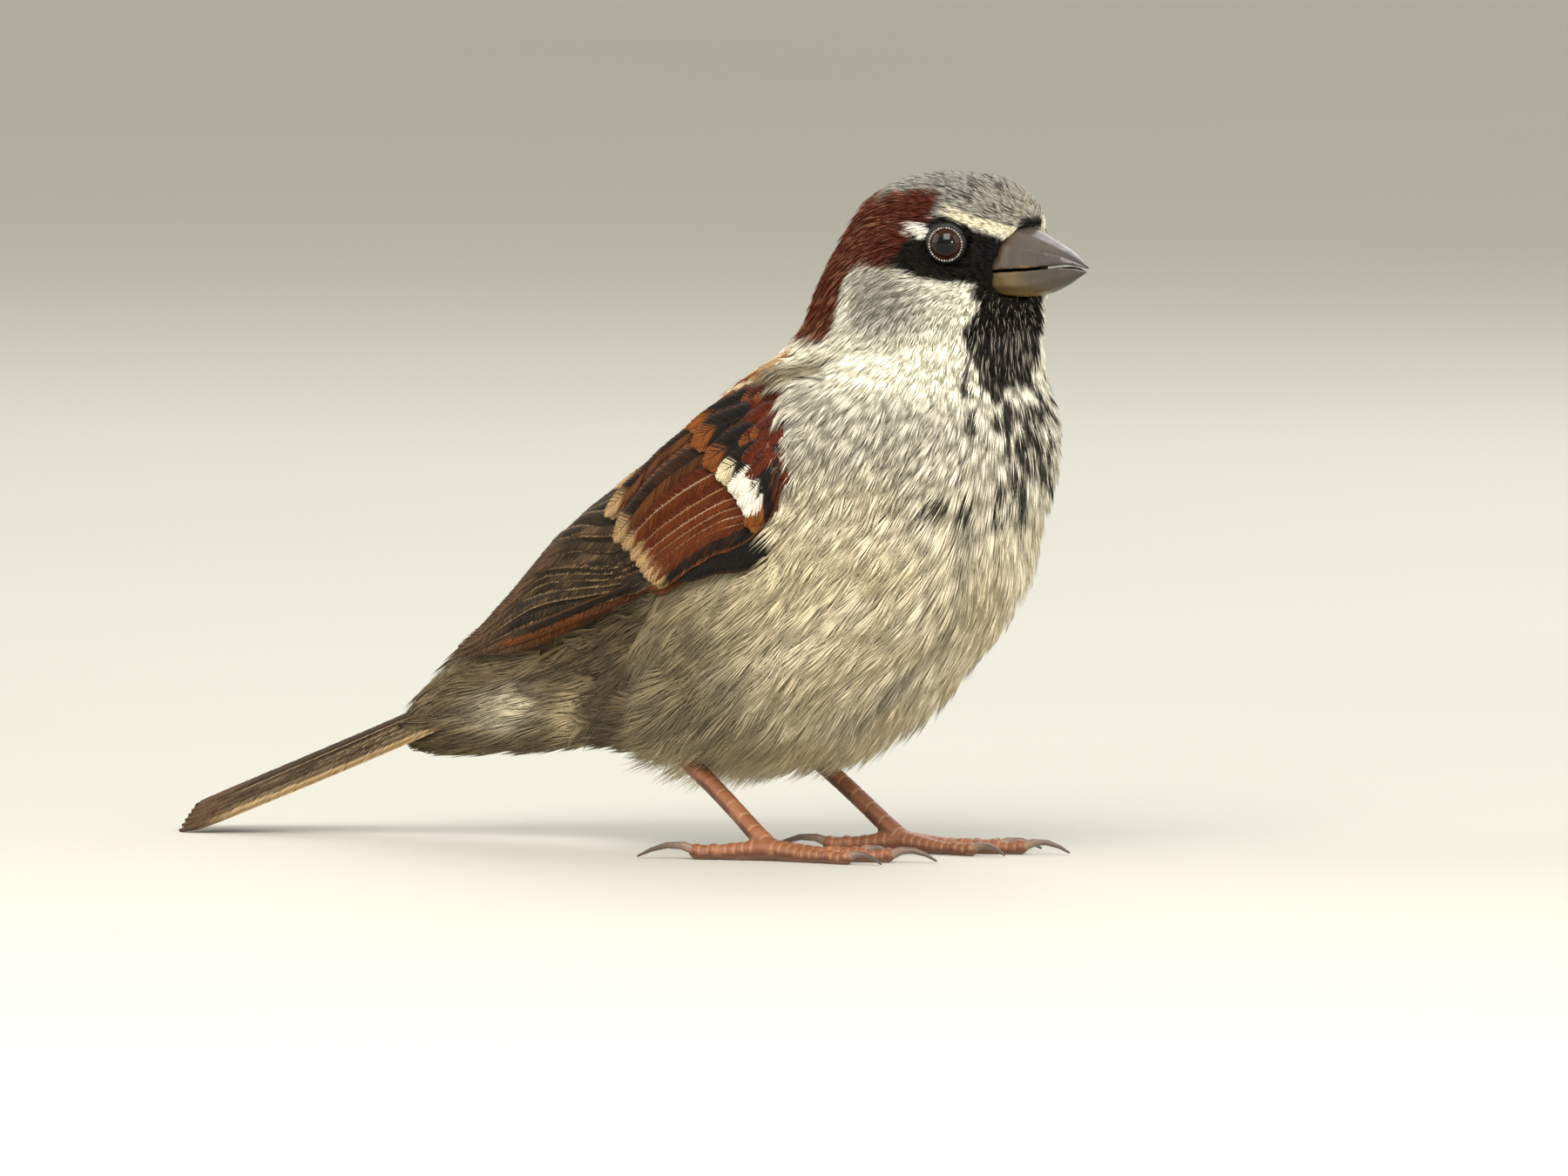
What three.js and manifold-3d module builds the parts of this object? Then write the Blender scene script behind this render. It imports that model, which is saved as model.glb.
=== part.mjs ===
// House sparrow, adult male, standing with the tip of its tail on the ground.
// Millimetres. +X is forward, +Y is the bird's left, +Z is up. The origin is on the ground, under the
// middle of the bird's bounding box.
//
// The feathered body is one smooth field of named masses. Each body piece is a three.js sphere whose
// vertices are pushed out to that field, and thin flat cuts part the pieces. The wings are patches of
// the same field, raised a little. The bird is modelled straight; swing() then carries its rear
// sideways, as a live bird swings its tail.
import * as THREE from "three";
import { mergeVertices } from "three/addons/utils/BufferGeometryUtils.js";
import Module from "manifold-3d";

// ---------------------------------------------------------------- driving dimensions
const GAP = 0.3; // between pieces that touch
const BLEND = 2.0; // how softly the masses of the body run together
const SWING_START = -20; // X where the rear begins to swing to the bird's right
const SWING_RADIUS = 150;

const TARSUS = 19.5; // length of the scaly part of the leg
const TARSUS_RADIUS = 1.05;
const ANKLE_RADIUS = 1.5;
const FOOT_YAW = 28; // degrees that both feet are turned to the bird's left
const SOLE = 0.3; // depth of each toe that the ground cuts flat
const GROUND = -1.2; // height of the ground, from where the body's heights are measured

const EYE_RADIUS = 3.2;
const EYE_PLACE = [22.6, 5.57, 71.3]; // X, distance from the midline, Z

const TAIL_LENGTH = 57;
const TAIL_ROLL = 12; // degrees, right edge down
const TAIL_THICKNESS = 1.6;
const WING_LIFT = 0.9; // of a wing's outer face above the body's surface
const WING_THICKNESS = 2.4;
const RIM = 0.6; // least thickness, at the rim of a wing or of the tail

const RIGHT = -1; // side of the bird, as the sign of Y
const LEFT = 1;
const SIDES = [
  ["right", RIGHT],
  ["left", LEFT],
];

const COLOURS = {
  crown: 0x8b8983,
  neck: 0xd8d0bc,
  breast: 0xcfc6ae,
  rump: 0x9a8f7c,
  coverts: 0x8c4f2a,
  flight: 0x4d4034,
  tail: 0x6d5c48,
  horn: 0x4b4648,
  claw: 0x6e6058,
  leg: 0xa9694b,
  eye: 0x2a1608,
};

// Masses of the feathered body: centre, half lengths along X, Y and Z, and how far the front end is
// pitched up. A mass off the midline has a twin on the other side.
const MASSES = [
  { name: "skull", at: [16.9, 0, 70.5], half: [12.2, 8.9, 8.3], pitch: -4 },
  { name: "forehead", at: [24.8, 0, 72.2], half: [5.8, 5.5, 5.6], pitch: 0 },
  { name: "cheek", at: [17.2, 5.0, 65.6], half: [8.4, 4.9, 5.6], pitch: 0 },
  { name: "nape", at: [8.8, 0, 61.6], half: [10.6, 9.2, 9.6], pitch: 45 },
  { name: "hind_neck", at: [3.0, 0, 52.0], half: [9.5, 11.0, 6.5], pitch: 40 },
  { name: "throat", at: [19.7, 0, 58.6], half: [9.0, 9.0, 8.6], pitch: 0 },
  { name: "breast", at: [12.6, 0, 46.4], half: [16.4, 18.4, 14.6], pitch: 20 },
  { name: "low_breast", at: [10.2, 0, 33.4], half: [15.5, 17.2, 13.5], pitch: 35 },
  { name: "belly", at: [-1.0, 0, 28.0], half: [20.5, 18.0, 16.0], pitch: 38 },
  { name: "mantle", at: [-10.6, 0, 44.0], half: [20.0, 13.2, 8.6], pitch: 39 },
  { name: "flank", at: [-8.0, 8.8, 25.0], half: [16.5, 8.0, 10.4], pitch: 30 },
  { name: "vent", at: [-22.0, 0, 17.0], half: [12.0, 9.5, 7.0], pitch: 10 },
  { name: "back", at: [-31.0, 0, 32.2], half: [17.0, 8.8, 7.6], pitch: 38 },
  { name: "rump", at: [-47.5, 0, 21.6], half: [16.0, 5.2, 4.6], pitch: 36 },
  { name: "undertail", at: [-45.0, 0, 12.4], half: [20.0, 4.4, 3.4], pitch: 5 },
];

// Cuts across the body: X and Z of a point on each, and how far its front normal is pitched up.
const NECK_CUT = { at: [12.5, 62.0], pitch: 68 };
const COLLAR_CUT = { at: [9.0, 53.5], pitch: 58 };
const BREAST_CUT = { at: [0.0, 38.0], pitch: 45 };
const RUMP_CUT = { at: [-26.0, 23.0], pitch: 22 };
const TAIL_CUT = { at: [-40.0, 17.4], pitch: 113 };
const SHOULDER_CUT = { at: [-14.0, 40.0], pitch: 32 };
const WING_CUT = { at: [-33.0, 30.0], pitch: 34 };

// ---------------------------------------------------------------- small tools
const wasm = await Module();
wasm.setup();

const { degToRad: rad, lerp: mix, smoothstep } = THREE.MathUtils;
const point = (x, y, z) => new THREE.Vector3(x, y, z);
const curve = (places) =>
  new THREE.CatmullRomCurve3(places.map((p) => point(...p)), false, "centripetal");

/** Carries a point of the straight bird's rear sideways, about a far upright axis. */
function swing(p) {
  if (p.x >= SWING_START) return p;
  const turn = (SWING_START - p.x) / SWING_RADIUS;
  const reach = SWING_RADIUS + p.y;
  return p.set(SWING_START - reach * Math.sin(turn), reach * Math.cos(turn) - SWING_RADIUS, p.z);
}

/** A copy of a geometry with each vertex moved by a function of its place. */
function moved(geometry, move) {
  const made = geometry.clone();
  const places = made.attributes.position;
  const p = point(0, 0, 0);
  for (let i = 0; i < places.count; i++) {
    const q = move(p.fromBufferAttribute(places, i));
    places.setXYZ(i, q.x, q.y, q.z);
  }
  return made;
}

/** Turns a three.js geometry into a manifold-3d solid that faces outwards. */
function solid(geometry) {
  const bare = geometry.clone();
  bare.deleteAttribute("normal");
  bare.deleteAttribute("uv");
  const merged = mergeVertices(bare, 1e-3);
  const vertProperties = merged.attributes.position.array;
  const triVerts = new Uint32Array(merged.index.array);
  const made = new wasm.Manifold(new wasm.Mesh({ numProp: 3, vertProperties, triVerts }));
  if (made.volume() > 0) return made;
  triVerts.reverse();
  return new wasm.Manifold(new wasm.Mesh({ numProp: 3, vertProperties, triVerts }));
}

/** Turns a manifold-3d solid back into a three.js geometry. */
function geometryOf(made) {
  const mesh = made.getMesh();
  const places = new Float32Array(mesh.numVert * 3);
  for (let i = 0; i < mesh.numVert; i++)
    places.set(mesh.vertProperties.subarray(i * mesh.numProp, i * mesh.numProp + 3), i * 3);
  return new THREE.BufferGeometry()
    .setAttribute("position", new THREE.BufferAttribute(places, 3))
    .setIndex(new THREE.BufferAttribute(mesh.triVerts, 1));
}

/** The front normal of a cut, and its distance from the origin along that normal. */
function planeOf(cut) {
  const normal = [Math.cos(rad(cut.pitch)), 0, Math.sin(rad(cut.pitch))];
  return [normal, normal[0] * cut.at[0] + normal[2] * cut.at[1]];
}

/** What lies in front of a cut, half a gap away from it. */
function before(made, cut) {
  const [normal, distance] = planeOf(cut);
  return made.trimByPlane(normal, distance + GAP / 2);
}

/** What lies behind a cut, half a gap away from it. */
function behind(made, cut) {
  const [normal, distance] = planeOf(cut);
  return made.trimByPlane(normal.map((n) => -n), GAP / 2 - distance);
}

/** A closed tube: place(t, angle, reach) puts each vertex, with t from 0 to 1 along it, and reach 0
 * in the middle of an end and 1 on the skin. */
function swept(segments, rings, place) {
  const tube = new THREE.CylinderGeometry(1, 1, 1, segments, rings);
  return solid(
    moved(tube, (p) => place(p.y + 0.5, Math.atan2(p.z, p.x), Math.min(1, Math.hypot(p.x, p.z)))),
  );
}

/** A closed plate: place(t, across, face) puts each vertex, with t from 0 to 1 along it, across from
 * -1 to 1, and face 1 above, -1 below and 0 in the middle of an end. */
function plate(segments, rings, place) {
  const half = Math.PI / segments;
  return swept(segments, rings, (t, angle, reach) => {
    const across = (Math.cos(angle + half) * reach) / Math.cos(half);
    return place(t, across, reach < 1e-3 ? 0 : Math.sign(Math.sin(angle + half)));
  });
}

/** A tube with round ends along a curve, with radius(t), flattened by a factor from top to bottom. */
function limb(path, radius, segments, rings, flat = 1) {
  return swept(segments, rings, (t, angle, reach) => {
    const ahead = path.getTangent(t);
    const side = point(0, 0, 1).cross(ahead).normalize();
    const up = ahead.clone().cross(side);
    const r = radius(t) * reach;
    return path
      .getPoint(t)
      .addScaledVector(side, r * Math.cos(angle))
      .addScaledVector(up, r * Math.sin(angle) * flat);
  });
}

/** A named mesh of one colour, swung into place. */
function piece(name, made, color, roughness = 0.8) {
  const material = new THREE.MeshStandardMaterial({ color, roughness, metalness: 0 });
  const mesh = new THREE.Mesh(moved(geometryOf(made), swing), material);
  mesh.name = name;
  return mesh;
}

// ---------------------------------------------------------------- the feathered body
const masses = MASSES.flatMap((m) =>
  (m.at[1] ? [RIGHT, LEFT] : [LEFT]).map((side) => ({
    at: point(m.at[0], m.at[1] * side, m.at[2]),
    half: point(...m.half),
    cos: Math.cos(rad(m.pitch)),
    sin: Math.sin(rad(m.pitch)),
  })),
);

/** About how far a point is outside the feathered body, and below 0 inside it. */
function field(p) {
  let sum = 0;
  for (const m of masses) {
    const x = p.x - m.at.x;
    const z = p.z - m.at.z;
    const along = (x * m.cos + z * m.sin) / m.half.x;
    const across = (p.y - m.at.y) / m.half.y;
    const up = (z * m.cos - x * m.sin) / m.half.z;
    const share = Math.hypot(along, across, up);
    const slope = Math.hypot(along / m.half.x, across / m.half.y, up / m.half.z);
    const away = share < 1e-3 ? -m.half.z : (share * (share - 1)) / slope;
    sum += Math.exp(-away / BLEND);
  }
  return -BLEND * Math.log(sum);
}

/** The place where a ray from inside the body first comes out through a level of the field. */
function surface(from, towards, level = 0, limit = 60) {
  const step = 0.7;
  let far = 0;
  while (far < limit && field(from.clone().addScaledVector(towards, far)) < level) far += step;
  if (far >= limit) return from.clone().addScaledVector(towards, limit);
  let near = Math.max(0, far - step);
  for (let i = 0; i < 12; i++) {
    const middle = (near + far) / 2;
    if (field(from.clone().addScaledVector(towards, middle)) < level) near = middle;
    else far = middle;
  }
  return from.clone().addScaledVector(towards, far);
}

/** A sphere pushed out to the field from a line between two seeds inside the body. */
function flesh(rear, front, segments, rings, limit) {
  const [a, b] = [point(rear[0], 0, rear[1]), point(front[0], 0, front[1])];
  const turn = new THREE.Quaternion().setFromUnitVectors(point(0, 1, 0), b.clone().sub(a).normalize());
  return solid(
    moved(new THREE.SphereGeometry(1, segments, rings), (p) => {
      const seed = a.clone().lerp(b, (p.y + 1) / 2);
      return surface(seed, p.clone().applyQuaternion(turn), 0, limit);
    }),
  );
}

// ---------------------------------------------------------------- wings
// Each wing covers a patch of the body's side between a lower edge, from the breast to the wing tip,
// and an upper edge, from the shoulder over the back to the wing tip.
const LOWER_EDGE = curve([
  [9.5, 18.0, 41.0],
  [4.2, 19.0, 34.6],
  [-4.4, 19.0, 32.4],
  [-15.5, 17.0, 28.4],
  [-34.0, 11.0, 23.6],
  [-45.0, 6.5, 20.6],
  [-53.4, 4.2, 18.6],
]);
const UPPER_EDGE = curve([
  [10.0, 12.5, 52.5],
  [0.0, 8.5, 55.0],
  [-14.0, 4.0, 50.0],
  [-27.0, 2.0, 41.0],
  [-38.0, 1.6, 34.0],
  [-47.0, 1.8, 26.6],
  [-53.6, 2.6, 20.4],
]);
const WING_AXIS = curve([
  [8.0, 2.0, 44.0],
  [-16.0, 1.5, 33.0],
  [-36.0, 1.0, 24.0],
  [-52.5, 0.2, 15.0],
]);

/** A right or left wing as a patch of the field. grow widens it on every side, for its bed. */
function wing(side, segments, rings, grow = 0) {
  return plate(segments, rings, (t, across, face) => {
    const past = grow * 1.5 * (smoothstep(t, 0.99, 1) - smoothstep(1 - t, 0.99, 1));
    const low = LOWER_EDGE.getPoint(t);
    const high = UPPER_EDGE.getPoint(t);
    const middle = WING_AXIS.getPoint(t);
    const wide = 0.5 + grow / low.distanceTo(high);
    const base = low.lerp(high, 0.5 + wide * across);
    base.addScaledVector(LOWER_EDGE.getTangent(t), past);
    const rim = Math.sqrt(Math.max(0, 1 - across * across));
    const taper = mix(0.45, 1, smoothstep(1 - t, 0, 0.35)) * mix(0.7, 1, smoothstep(t, 0, 0.1));
    const outer = WING_LIFT * taper * rim;
    const inner = outer - RIM - (WING_THICKNESS - RIM) * rim * taper;
    const faces = [inner - grow, (outer + inner) / 2, outer + (grow ? 5 : 0)];
    const level = faces[face + 1];
    const p = surface(middle, base.sub(middle).normalize(), level);
    return p.set(p.x, p.y * side, p.z);
  });
}

// ---------------------------------------------------------------- tail
const TAIL_ROOT = point(-38.0, 0, 20.2);
const TAIL_TIP = point(-91.5, 0, GROUND + 0.55);

/** The folded tail, a thin fan that narrows to its root and is notched at its tip. */
function tail(grow = 0) {
  const back = TAIL_TIP.clone().sub(TAIL_ROOT).normalize();
  const side = point(0, 1, 0).applyAxisAngle(back, rad(TAIL_ROLL));
  const up = side.clone().cross(back).normalize();
  return plate(10, 6, (t, spread, face) => {
    const wide = mix(3.6, 6.0, t ** 0.8) + grow;
    const notch = 1 - 0.045 * (1 - Math.abs(spread)) * t - 0.06 * spread ** 8 * t;
    const rim = Math.sqrt(Math.max(0, 1 - spread * spread));
    const thick = (RIM + (TAIL_THICKNESS - RIM) * rim * (1 - 0.4 * t)) / 2 + grow;
    const arch = 2.4 * (1 - spread * spread) * (1 - 0.6 * t);
    const along = TAIL_LENGTH * t * notch + (t < 0.5 ? -grow : grow);
    return TAIL_ROOT.clone()
      .addScaledVector(back, along)
      .addScaledVector(side, wide * spread)
      .addScaledVector(up, face * thick + arch);
  });
}

// ---------------------------------------------------------------- bill
// Along the bill: X, height of the ridge, of the mouth line and of the chin line, and half width.
const BILL = [
  [25.0, 73.4, 67.6, 64.8, 4.3],
  [28.0, 73.5, 67.9, 64.8, 4.1],
  [30.5, 72.9, 68.1, 64.9, 3.7],
  [33.0, 71.9, 68.3, 65.2, 3.0],
  [35.5, 70.8, 68.7, 66.0, 2.1],
  [37.6, 69.6, 68.6, 67.2, 1.1],
  [39.0, 68.6, 68.2, 67.9, 0.3],
];
const BILL_LINES = [1, 2, 3, 4].map((k) => curve(BILL.map((row) => [row[0], 0, row[k]])));

/** One half of the bill, above or below the mouth line. grow swells it, for its bed. */
function billHalf(upper, grow = 0) {
  const [ridge, mouth, chin, half] = BILL_LINES;
  return swept(12, 7, (t, angle, reach) => {
    const at = mouth.getPoint(upper ? t : t * 0.97);
    const edge = at.z + (upper ? GAP / 2 - grow : grow - GAP / 2);
    const end = (upper ? ridge : chin).getPoint(t).z + (upper ? grow : -grow);
    const wide = Math.max(0.15, half.getPoint(t).z - (upper ? 0 : 0.25)) + grow;
    const round = Math.abs(Math.sin(angle)) ** 0.85 * reach;
    const away = Math.sin(angle) > 1e-6 ? round : 0;
    const z = reach < 1e-3 ? (edge + end) / 2 : mix(edge, end, away);
    return point(at.x, wide * reach * Math.cos(angle), z);
  });
}

// ---------------------------------------------------------------- legs and feet
// Each foot: its side, where its toes meet, and the direction of its leg from there to the ankle.
const FEET = {
  right: { side: RIGHT, at: [-0.9, -10.5], up: [-12.0, 1.6, 7.8] },
  left: { side: LEFT, at: [1.0, 10.5], up: [-9.5, -2.4, 7.8] },
};
// Each toe: direction on the ground from the foot's own, outwards; length; radius; claw length.
const TOES = {
  inner_toe: { turn: -25, length: 10.0, radius: 0.85, claw: 4.6 },
  middle_toe: { turn: 0, length: 14.2, radius: 0.95, claw: 5.2 },
  outer_toe: { turn: 24, length: 11.2, radius: 0.85, claw: 4.6 },
  hind_toe: { turn: 180, length: 8.6, radius: 1.0, claw: 7.0 },
};
const FOOT_HEIGHT = 1.15; // of the middle of the foot, where the toes meet
const TOE_START = 1.3; // gap kept round the middle of the foot

/** The scaly leg from the ankle down to the foot. */
function tarsus(foot, grow = 0) {
  const low = point(...foot.at, GROUND + FOOT_HEIGHT);
  const high = point(...foot.up).setLength(TARSUS).add(low);
  const knee = low.clone().lerp(high, 0.5).add(point(0.5, 0, 0.3));
  const path = new THREE.QuadraticBezierCurve3(high, knee, low);
  return limb(
    path,
    (t) => {
      const joint = mix(ANKLE_RADIUS, TARSUS_RADIUS, smoothstep(t, 0, 0.22));
      const ball = 0.35 * smoothstep(t, 0.8, 0.95) * (1 - smoothstep(t, 0.97, 1.08));
      return joint + ball + grow - 0.45 * (1 - smoothstep(t, 0, 0.04));
    },
    9,
    6,
  );
}

/** Direction on the ground of a toe of a foot. */
function heading(foot, toe) {
  const turn = rad(FOOT_YAW + toe.turn * foot.side);
  return point(Math.cos(turn), Math.sin(turn), 0);
}

/** Cuts a toe on the upright plane halfway between its direction and another toe's. */
function parted(made, foot, turn, other) {
  const half = rad(FOOT_YAW + ((turn + other) / 2) * foot.side);
  const sign = Math.sign((turn - other) * foot.side);
  const normal = [-Math.sin(half) * sign, Math.cos(half) * sign, 0];
  return made.trimByPlane(normal, normal[0] * foot.at[0] + normal[1] * foot.at[1] + GAP / 2);
}

/** A toe with swollen pads between its joints, cut flat by the ground. */
function toeSolid(foot, toe) {
  const ahead = heading(foot, toe);
  const start = point(...foot.at, 0).addScaledVector(ahead, TOE_START + 0.6);
  const r = toe.radius;
  const sole = GROUND - SOLE;
  const path = curve([
    start.clone().setZ(sole + r * 1.05),
    start.clone().addScaledVector(ahead, toe.length * 0.35).setZ(sole + r * 1.2),
    start.clone().addScaledVector(ahead, toe.length * 0.7).setZ(sole + r),
    start.clone().addScaledVector(ahead, toe.length - TOE_START).setZ(sole + r * 0.9),
  ]);
  const pads = toe.length > 12 ? 3 : 2;
  const width = (t) => {
    const pad = 0.14 * Math.cos(2 * Math.PI * (pads * t - 0.5));
    const ends = 0.45 * (1 - smoothstep(t, 0, 0.08)) + 0.4 * smoothstep(t, 0.92, 1);
    return r * (1.04 - 0.2 * t + pad - ends);
  };
  return limb(path, width, 7, 7).trimByPlane([0, 0, 1], GROUND);
}

/** A claw, arched up from the end of its toe and down to a point above the ground. */
function clawSolid(foot, toe) {
  const ahead = heading(foot, toe);
  const r = toe.radius;
  const start = point(...foot.at, 0).addScaledVector(ahead, toe.length + 0.6 + GAP);
  const place = (share, z) => start.clone().addScaledVector(ahead, toe.claw * share).setZ(GROUND + z);
  const path = curve([
    place(0, r * 0.95),
    place(0.28, r * 1.25 + toe.claw * 0.06),
    place(0.62, r * 0.95 + toe.claw * 0.04),
    place(0.92, 0.22),
  ]);
  return limb(path, (t) => mix(0.62 * r, 0.14, t ** 1.1), 6, 4).trimByPlane([0, 0, 1], GROUND + 0.02);
}

// ---------------------------------------------------------------- assembly
const upperBill = billHalf(true);
const lowerBill = billHalf(false);
const bills = billHalf(true, GAP).add(billHalf(false, GAP));
const ball = (side, radius) =>
  solid(
    new THREE.SphereGeometry(radius, 14, 10)
      .rotateX(Math.PI / 2)
      .translate(EYE_PLACE[0], EYE_PLACE[1] * side, EYE_PLACE[2]),
  );
const beds = SIDES.map(([, side]) => wing(side, 12, 16, GAP));
const wingBeds = beds[0].add(beds[1]);
const tailBed = tail(1.5 * GAP);

const head = SIDES.reduce(
  (made, [, side]) => made.subtract(ball(side, EYE_RADIUS + GAP)),
  before(flesh([13, 68], [21, 70], 28, 18, 24), NECK_CUT).subtract(bills),
);
const neck = before(behind(flesh([10, 60], [18, 57], 26, 14, 30), NECK_CUT), COLLAR_CUT);
const breast = before(behind(flesh([0, 46], [14, 45], 26, 16, 36), COLLAR_CUT), BREAST_CUT);
const rearBody = flesh([-20, 24], [2, 32], 26, 16, 44);
const belly = before(behind(rearBody, BREAST_CUT), RUMP_CUT);
const rump = before(behind(flesh([-56, 16], [-30, 29], 20, 15, 26), RUMP_CUT), TAIL_CUT);
const undertail = behind(behind(flesh([-58, 11.4], [-28, 15], 18, 14, 24), RUMP_CUT), TAIL_CUT);

const legBeds = Object.values(FEET).map((foot) => tarsus(foot, GAP));
const bellyCut = legBeds.reduce((made, bed) => made.subtract(bed), belly.subtract(wingBeds));

const bird = new THREE.Group();
bird.name = "house_sparrow";
bird.add(
  piece("head", head, COLOURS.crown),
  piece("upper_bill", upperBill, COLOURS.horn, 0.35),
  piece("lower_bill", lowerBill, COLOURS.horn, 0.4),
  piece("neck", neck.subtract(wingBeds), COLOURS.neck),
  piece("breast", breast.subtract(wingBeds), COLOURS.breast),
  piece("belly", bellyCut.subtract(tailBed), COLOURS.breast),
  piece("rump", rump.subtract(wingBeds).subtract(tailBed), COLOURS.rump),
  piece("undertail", undertail.subtract(wingBeds).subtract(tailBed), COLOURS.neck),
  piece("tail", tail().trimByPlane([0, 0, 1], GROUND), COLOURS.tail),
);

for (const [name, side] of SIDES) {
  const whole = wing(side, 12, 16);
  const foot = FEET[name];
  bird.add(
    piece(`eye_${name}`, ball(side, EYE_RADIUS), COLOURS.eye, 0.1),
    piece(`wing_shoulder_${name}`, before(whole, SHOULDER_CUT), COLOURS.coverts),
    piece(`wing_middle_${name}`, before(behind(whole, SHOULDER_CUT), WING_CUT), COLOURS.coverts),
    piece(`wing_tip_${name}`, behind(whole, WING_CUT), COLOURS.flight),
    piece(`leg_${name}`, tarsus(foot).trimByPlane([0, 0, 1], GROUND), COLOURS.leg),
  );
  for (const [toeName, toe] of Object.entries(TOES)) {
    const others = toe.turn ? [0] : [TOES.inner_toe.turn, TOES.outer_toe.turn];
    const cut = Math.abs(toe.turn) > 90 ? [] : others;
    const toeMade = cut
      .reduce((made, other) => parted(made, foot, toe.turn, other), toeSolid(foot, toe))
      .subtract(tarsus(foot, GAP));
    bird.add(piece(`${toeName}_${name}`, toeMade, COLOURS.leg));
    bird.add(piece(`${toeName}_claw_${name}`, clawSolid(foot, toe), COLOURS.claw, 0.4));
  }
}

// Stands the bird on the ground, with the origin under the middle of its box.
const box = new THREE.Box3().setFromObject(bird);
const middle = box.getCenter(point(0, 0, 0));
for (const mesh of bird.children) mesh.geometry.translate(-middle.x, -middle.y, -box.min.z);

export default bird;
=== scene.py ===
"""A still, life-size adult male house sparrow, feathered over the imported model.

All shapes are worked out in the bird's own straight frame, in millimetres: X forward, Y to its left,
Z up. BirdFrame then carries its rear sideways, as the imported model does, and turns it to metres.
"""

import logging
import math
from dataclasses import dataclass, field
from enum import Enum
from typing import Callable, Sequence

import bpy
import numpy as np
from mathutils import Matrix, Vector
from mathutils.bvhtree import BVHTree


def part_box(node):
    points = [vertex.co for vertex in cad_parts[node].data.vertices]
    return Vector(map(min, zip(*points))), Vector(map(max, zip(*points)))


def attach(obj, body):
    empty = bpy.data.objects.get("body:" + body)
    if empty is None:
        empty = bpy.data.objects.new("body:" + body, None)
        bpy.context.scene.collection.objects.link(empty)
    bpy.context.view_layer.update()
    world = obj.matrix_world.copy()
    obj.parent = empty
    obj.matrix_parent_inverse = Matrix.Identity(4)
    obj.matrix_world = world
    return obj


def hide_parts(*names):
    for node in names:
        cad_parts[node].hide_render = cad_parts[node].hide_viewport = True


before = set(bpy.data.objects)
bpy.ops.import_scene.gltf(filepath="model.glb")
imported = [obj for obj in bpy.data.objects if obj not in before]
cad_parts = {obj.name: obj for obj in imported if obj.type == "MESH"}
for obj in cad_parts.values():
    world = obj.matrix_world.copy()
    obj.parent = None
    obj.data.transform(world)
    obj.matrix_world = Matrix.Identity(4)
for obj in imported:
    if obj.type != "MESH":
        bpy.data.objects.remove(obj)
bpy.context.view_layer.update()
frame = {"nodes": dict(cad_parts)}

log = logging.getLogger("sparrow")
Array = np.ndarray
Pair = tuple[Array, Array]
Object = bpy.types.Object
Node = bpy.types.Node
Tree = bpy.types.NodeTree
Random = np.random.Generator
Knots = Sequence[Sequence[float]]
Paint = Callable[[Array, Array], Array]  # the colour at shares along a feather and across it

MM = 0.001
SEED = 20417
MOST_FACES = 195000  # the triangles that one piece of barbs may have
TUFT_PATCH = 0.003  # side of each tuft's patch in its bake map
SIDES = {"right": -1, "left": 1}
EYE_PLACE = (22.6, 5.57, 71.3)  # X, distance from the midline and Z, in the bird's own frame
EYE_AXIS = (0.5, 0.86, -0.1)  # the way the right and left eye look, with Y outward
FLESH = ("head", "neck", "breast", "belly", "rump", "undertail")
WING_NODES = ("wing_shoulder", "wing_middle", "wing_tip")
TOES = ("inner", "middle", "outer", "hind")


# ---------------- frames and small helpers
@dataclass(frozen=True)
class BirdFrame:
    """The straight frame of the bird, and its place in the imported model's frame."""

    swing_start: float = -20.0
    swing_radius: float = 150.0

    @property
    def shift(self) -> Array:
        """Where the straight frame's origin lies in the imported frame, in millimetres."""
        low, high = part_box("eye_right")
        middle = np.array((low + high) / 2) / MM
        return middle - np.array([EYE_PLACE[0], -EYE_PLACE[1], EYE_PLACE[2]])

    def out(self, points: Array) -> Array:
        """Points of the straight frame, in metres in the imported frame."""
        swung = np.array(points, float)
        turn = np.maximum(self.swing_start - points[..., 0], 0) / self.swing_radius
        reach = self.swing_radius + points[..., 1]
        behind = points[..., 0] < self.swing_start
        swung[..., 0] = np.where(behind, self.swing_start - reach * np.sin(turn), points[..., 0])
        swung[..., 1] = np.where(behind, reach * np.cos(turn) - self.swing_radius, points[..., 1])
        return (swung + self.shift) * MM

    def back(self, points: Array) -> Array:
        """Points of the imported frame, in metres, taken back to the straight frame in millimetres."""
        points = points / MM - self.shift
        depth = self.swing_start - points[..., 0]
        across = points[..., 1] + self.swing_radius
        turn, reach = np.arctan2(depth, across), np.hypot(depth, across)
        straight = points.copy()
        behind = depth > 0
        straight[..., 0] = np.where(behind, self.swing_start - self.swing_radius * turn, points[..., 0])
        straight[..., 1] = np.where(behind, reach - self.swing_radius, points[..., 1])
        return straight


BIRD = BirdFrame()
norm = np.linalg.norm


def unit(vectors: Array) -> Array:
    """One vector, or rows of vectors, at length one."""
    return vectors / np.maximum(norm(vectors, axis=-1, keepdims=True), 1e-9)


def ease(low: float, high: float, value: Array) -> Array:
    """0 below low, 1 above high, and smooth between."""
    share = np.clip((value - low) / (high - low), 0, 1)
    return share * share * (3 - 2 * share)


def lerp(first: Array, second: Array, share: Array | float) -> Array:
    """The mix of two colours or rows of values, where share is one number a row."""
    return first + (np.asarray(second) - first) * np.asarray(share)[..., None]


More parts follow.
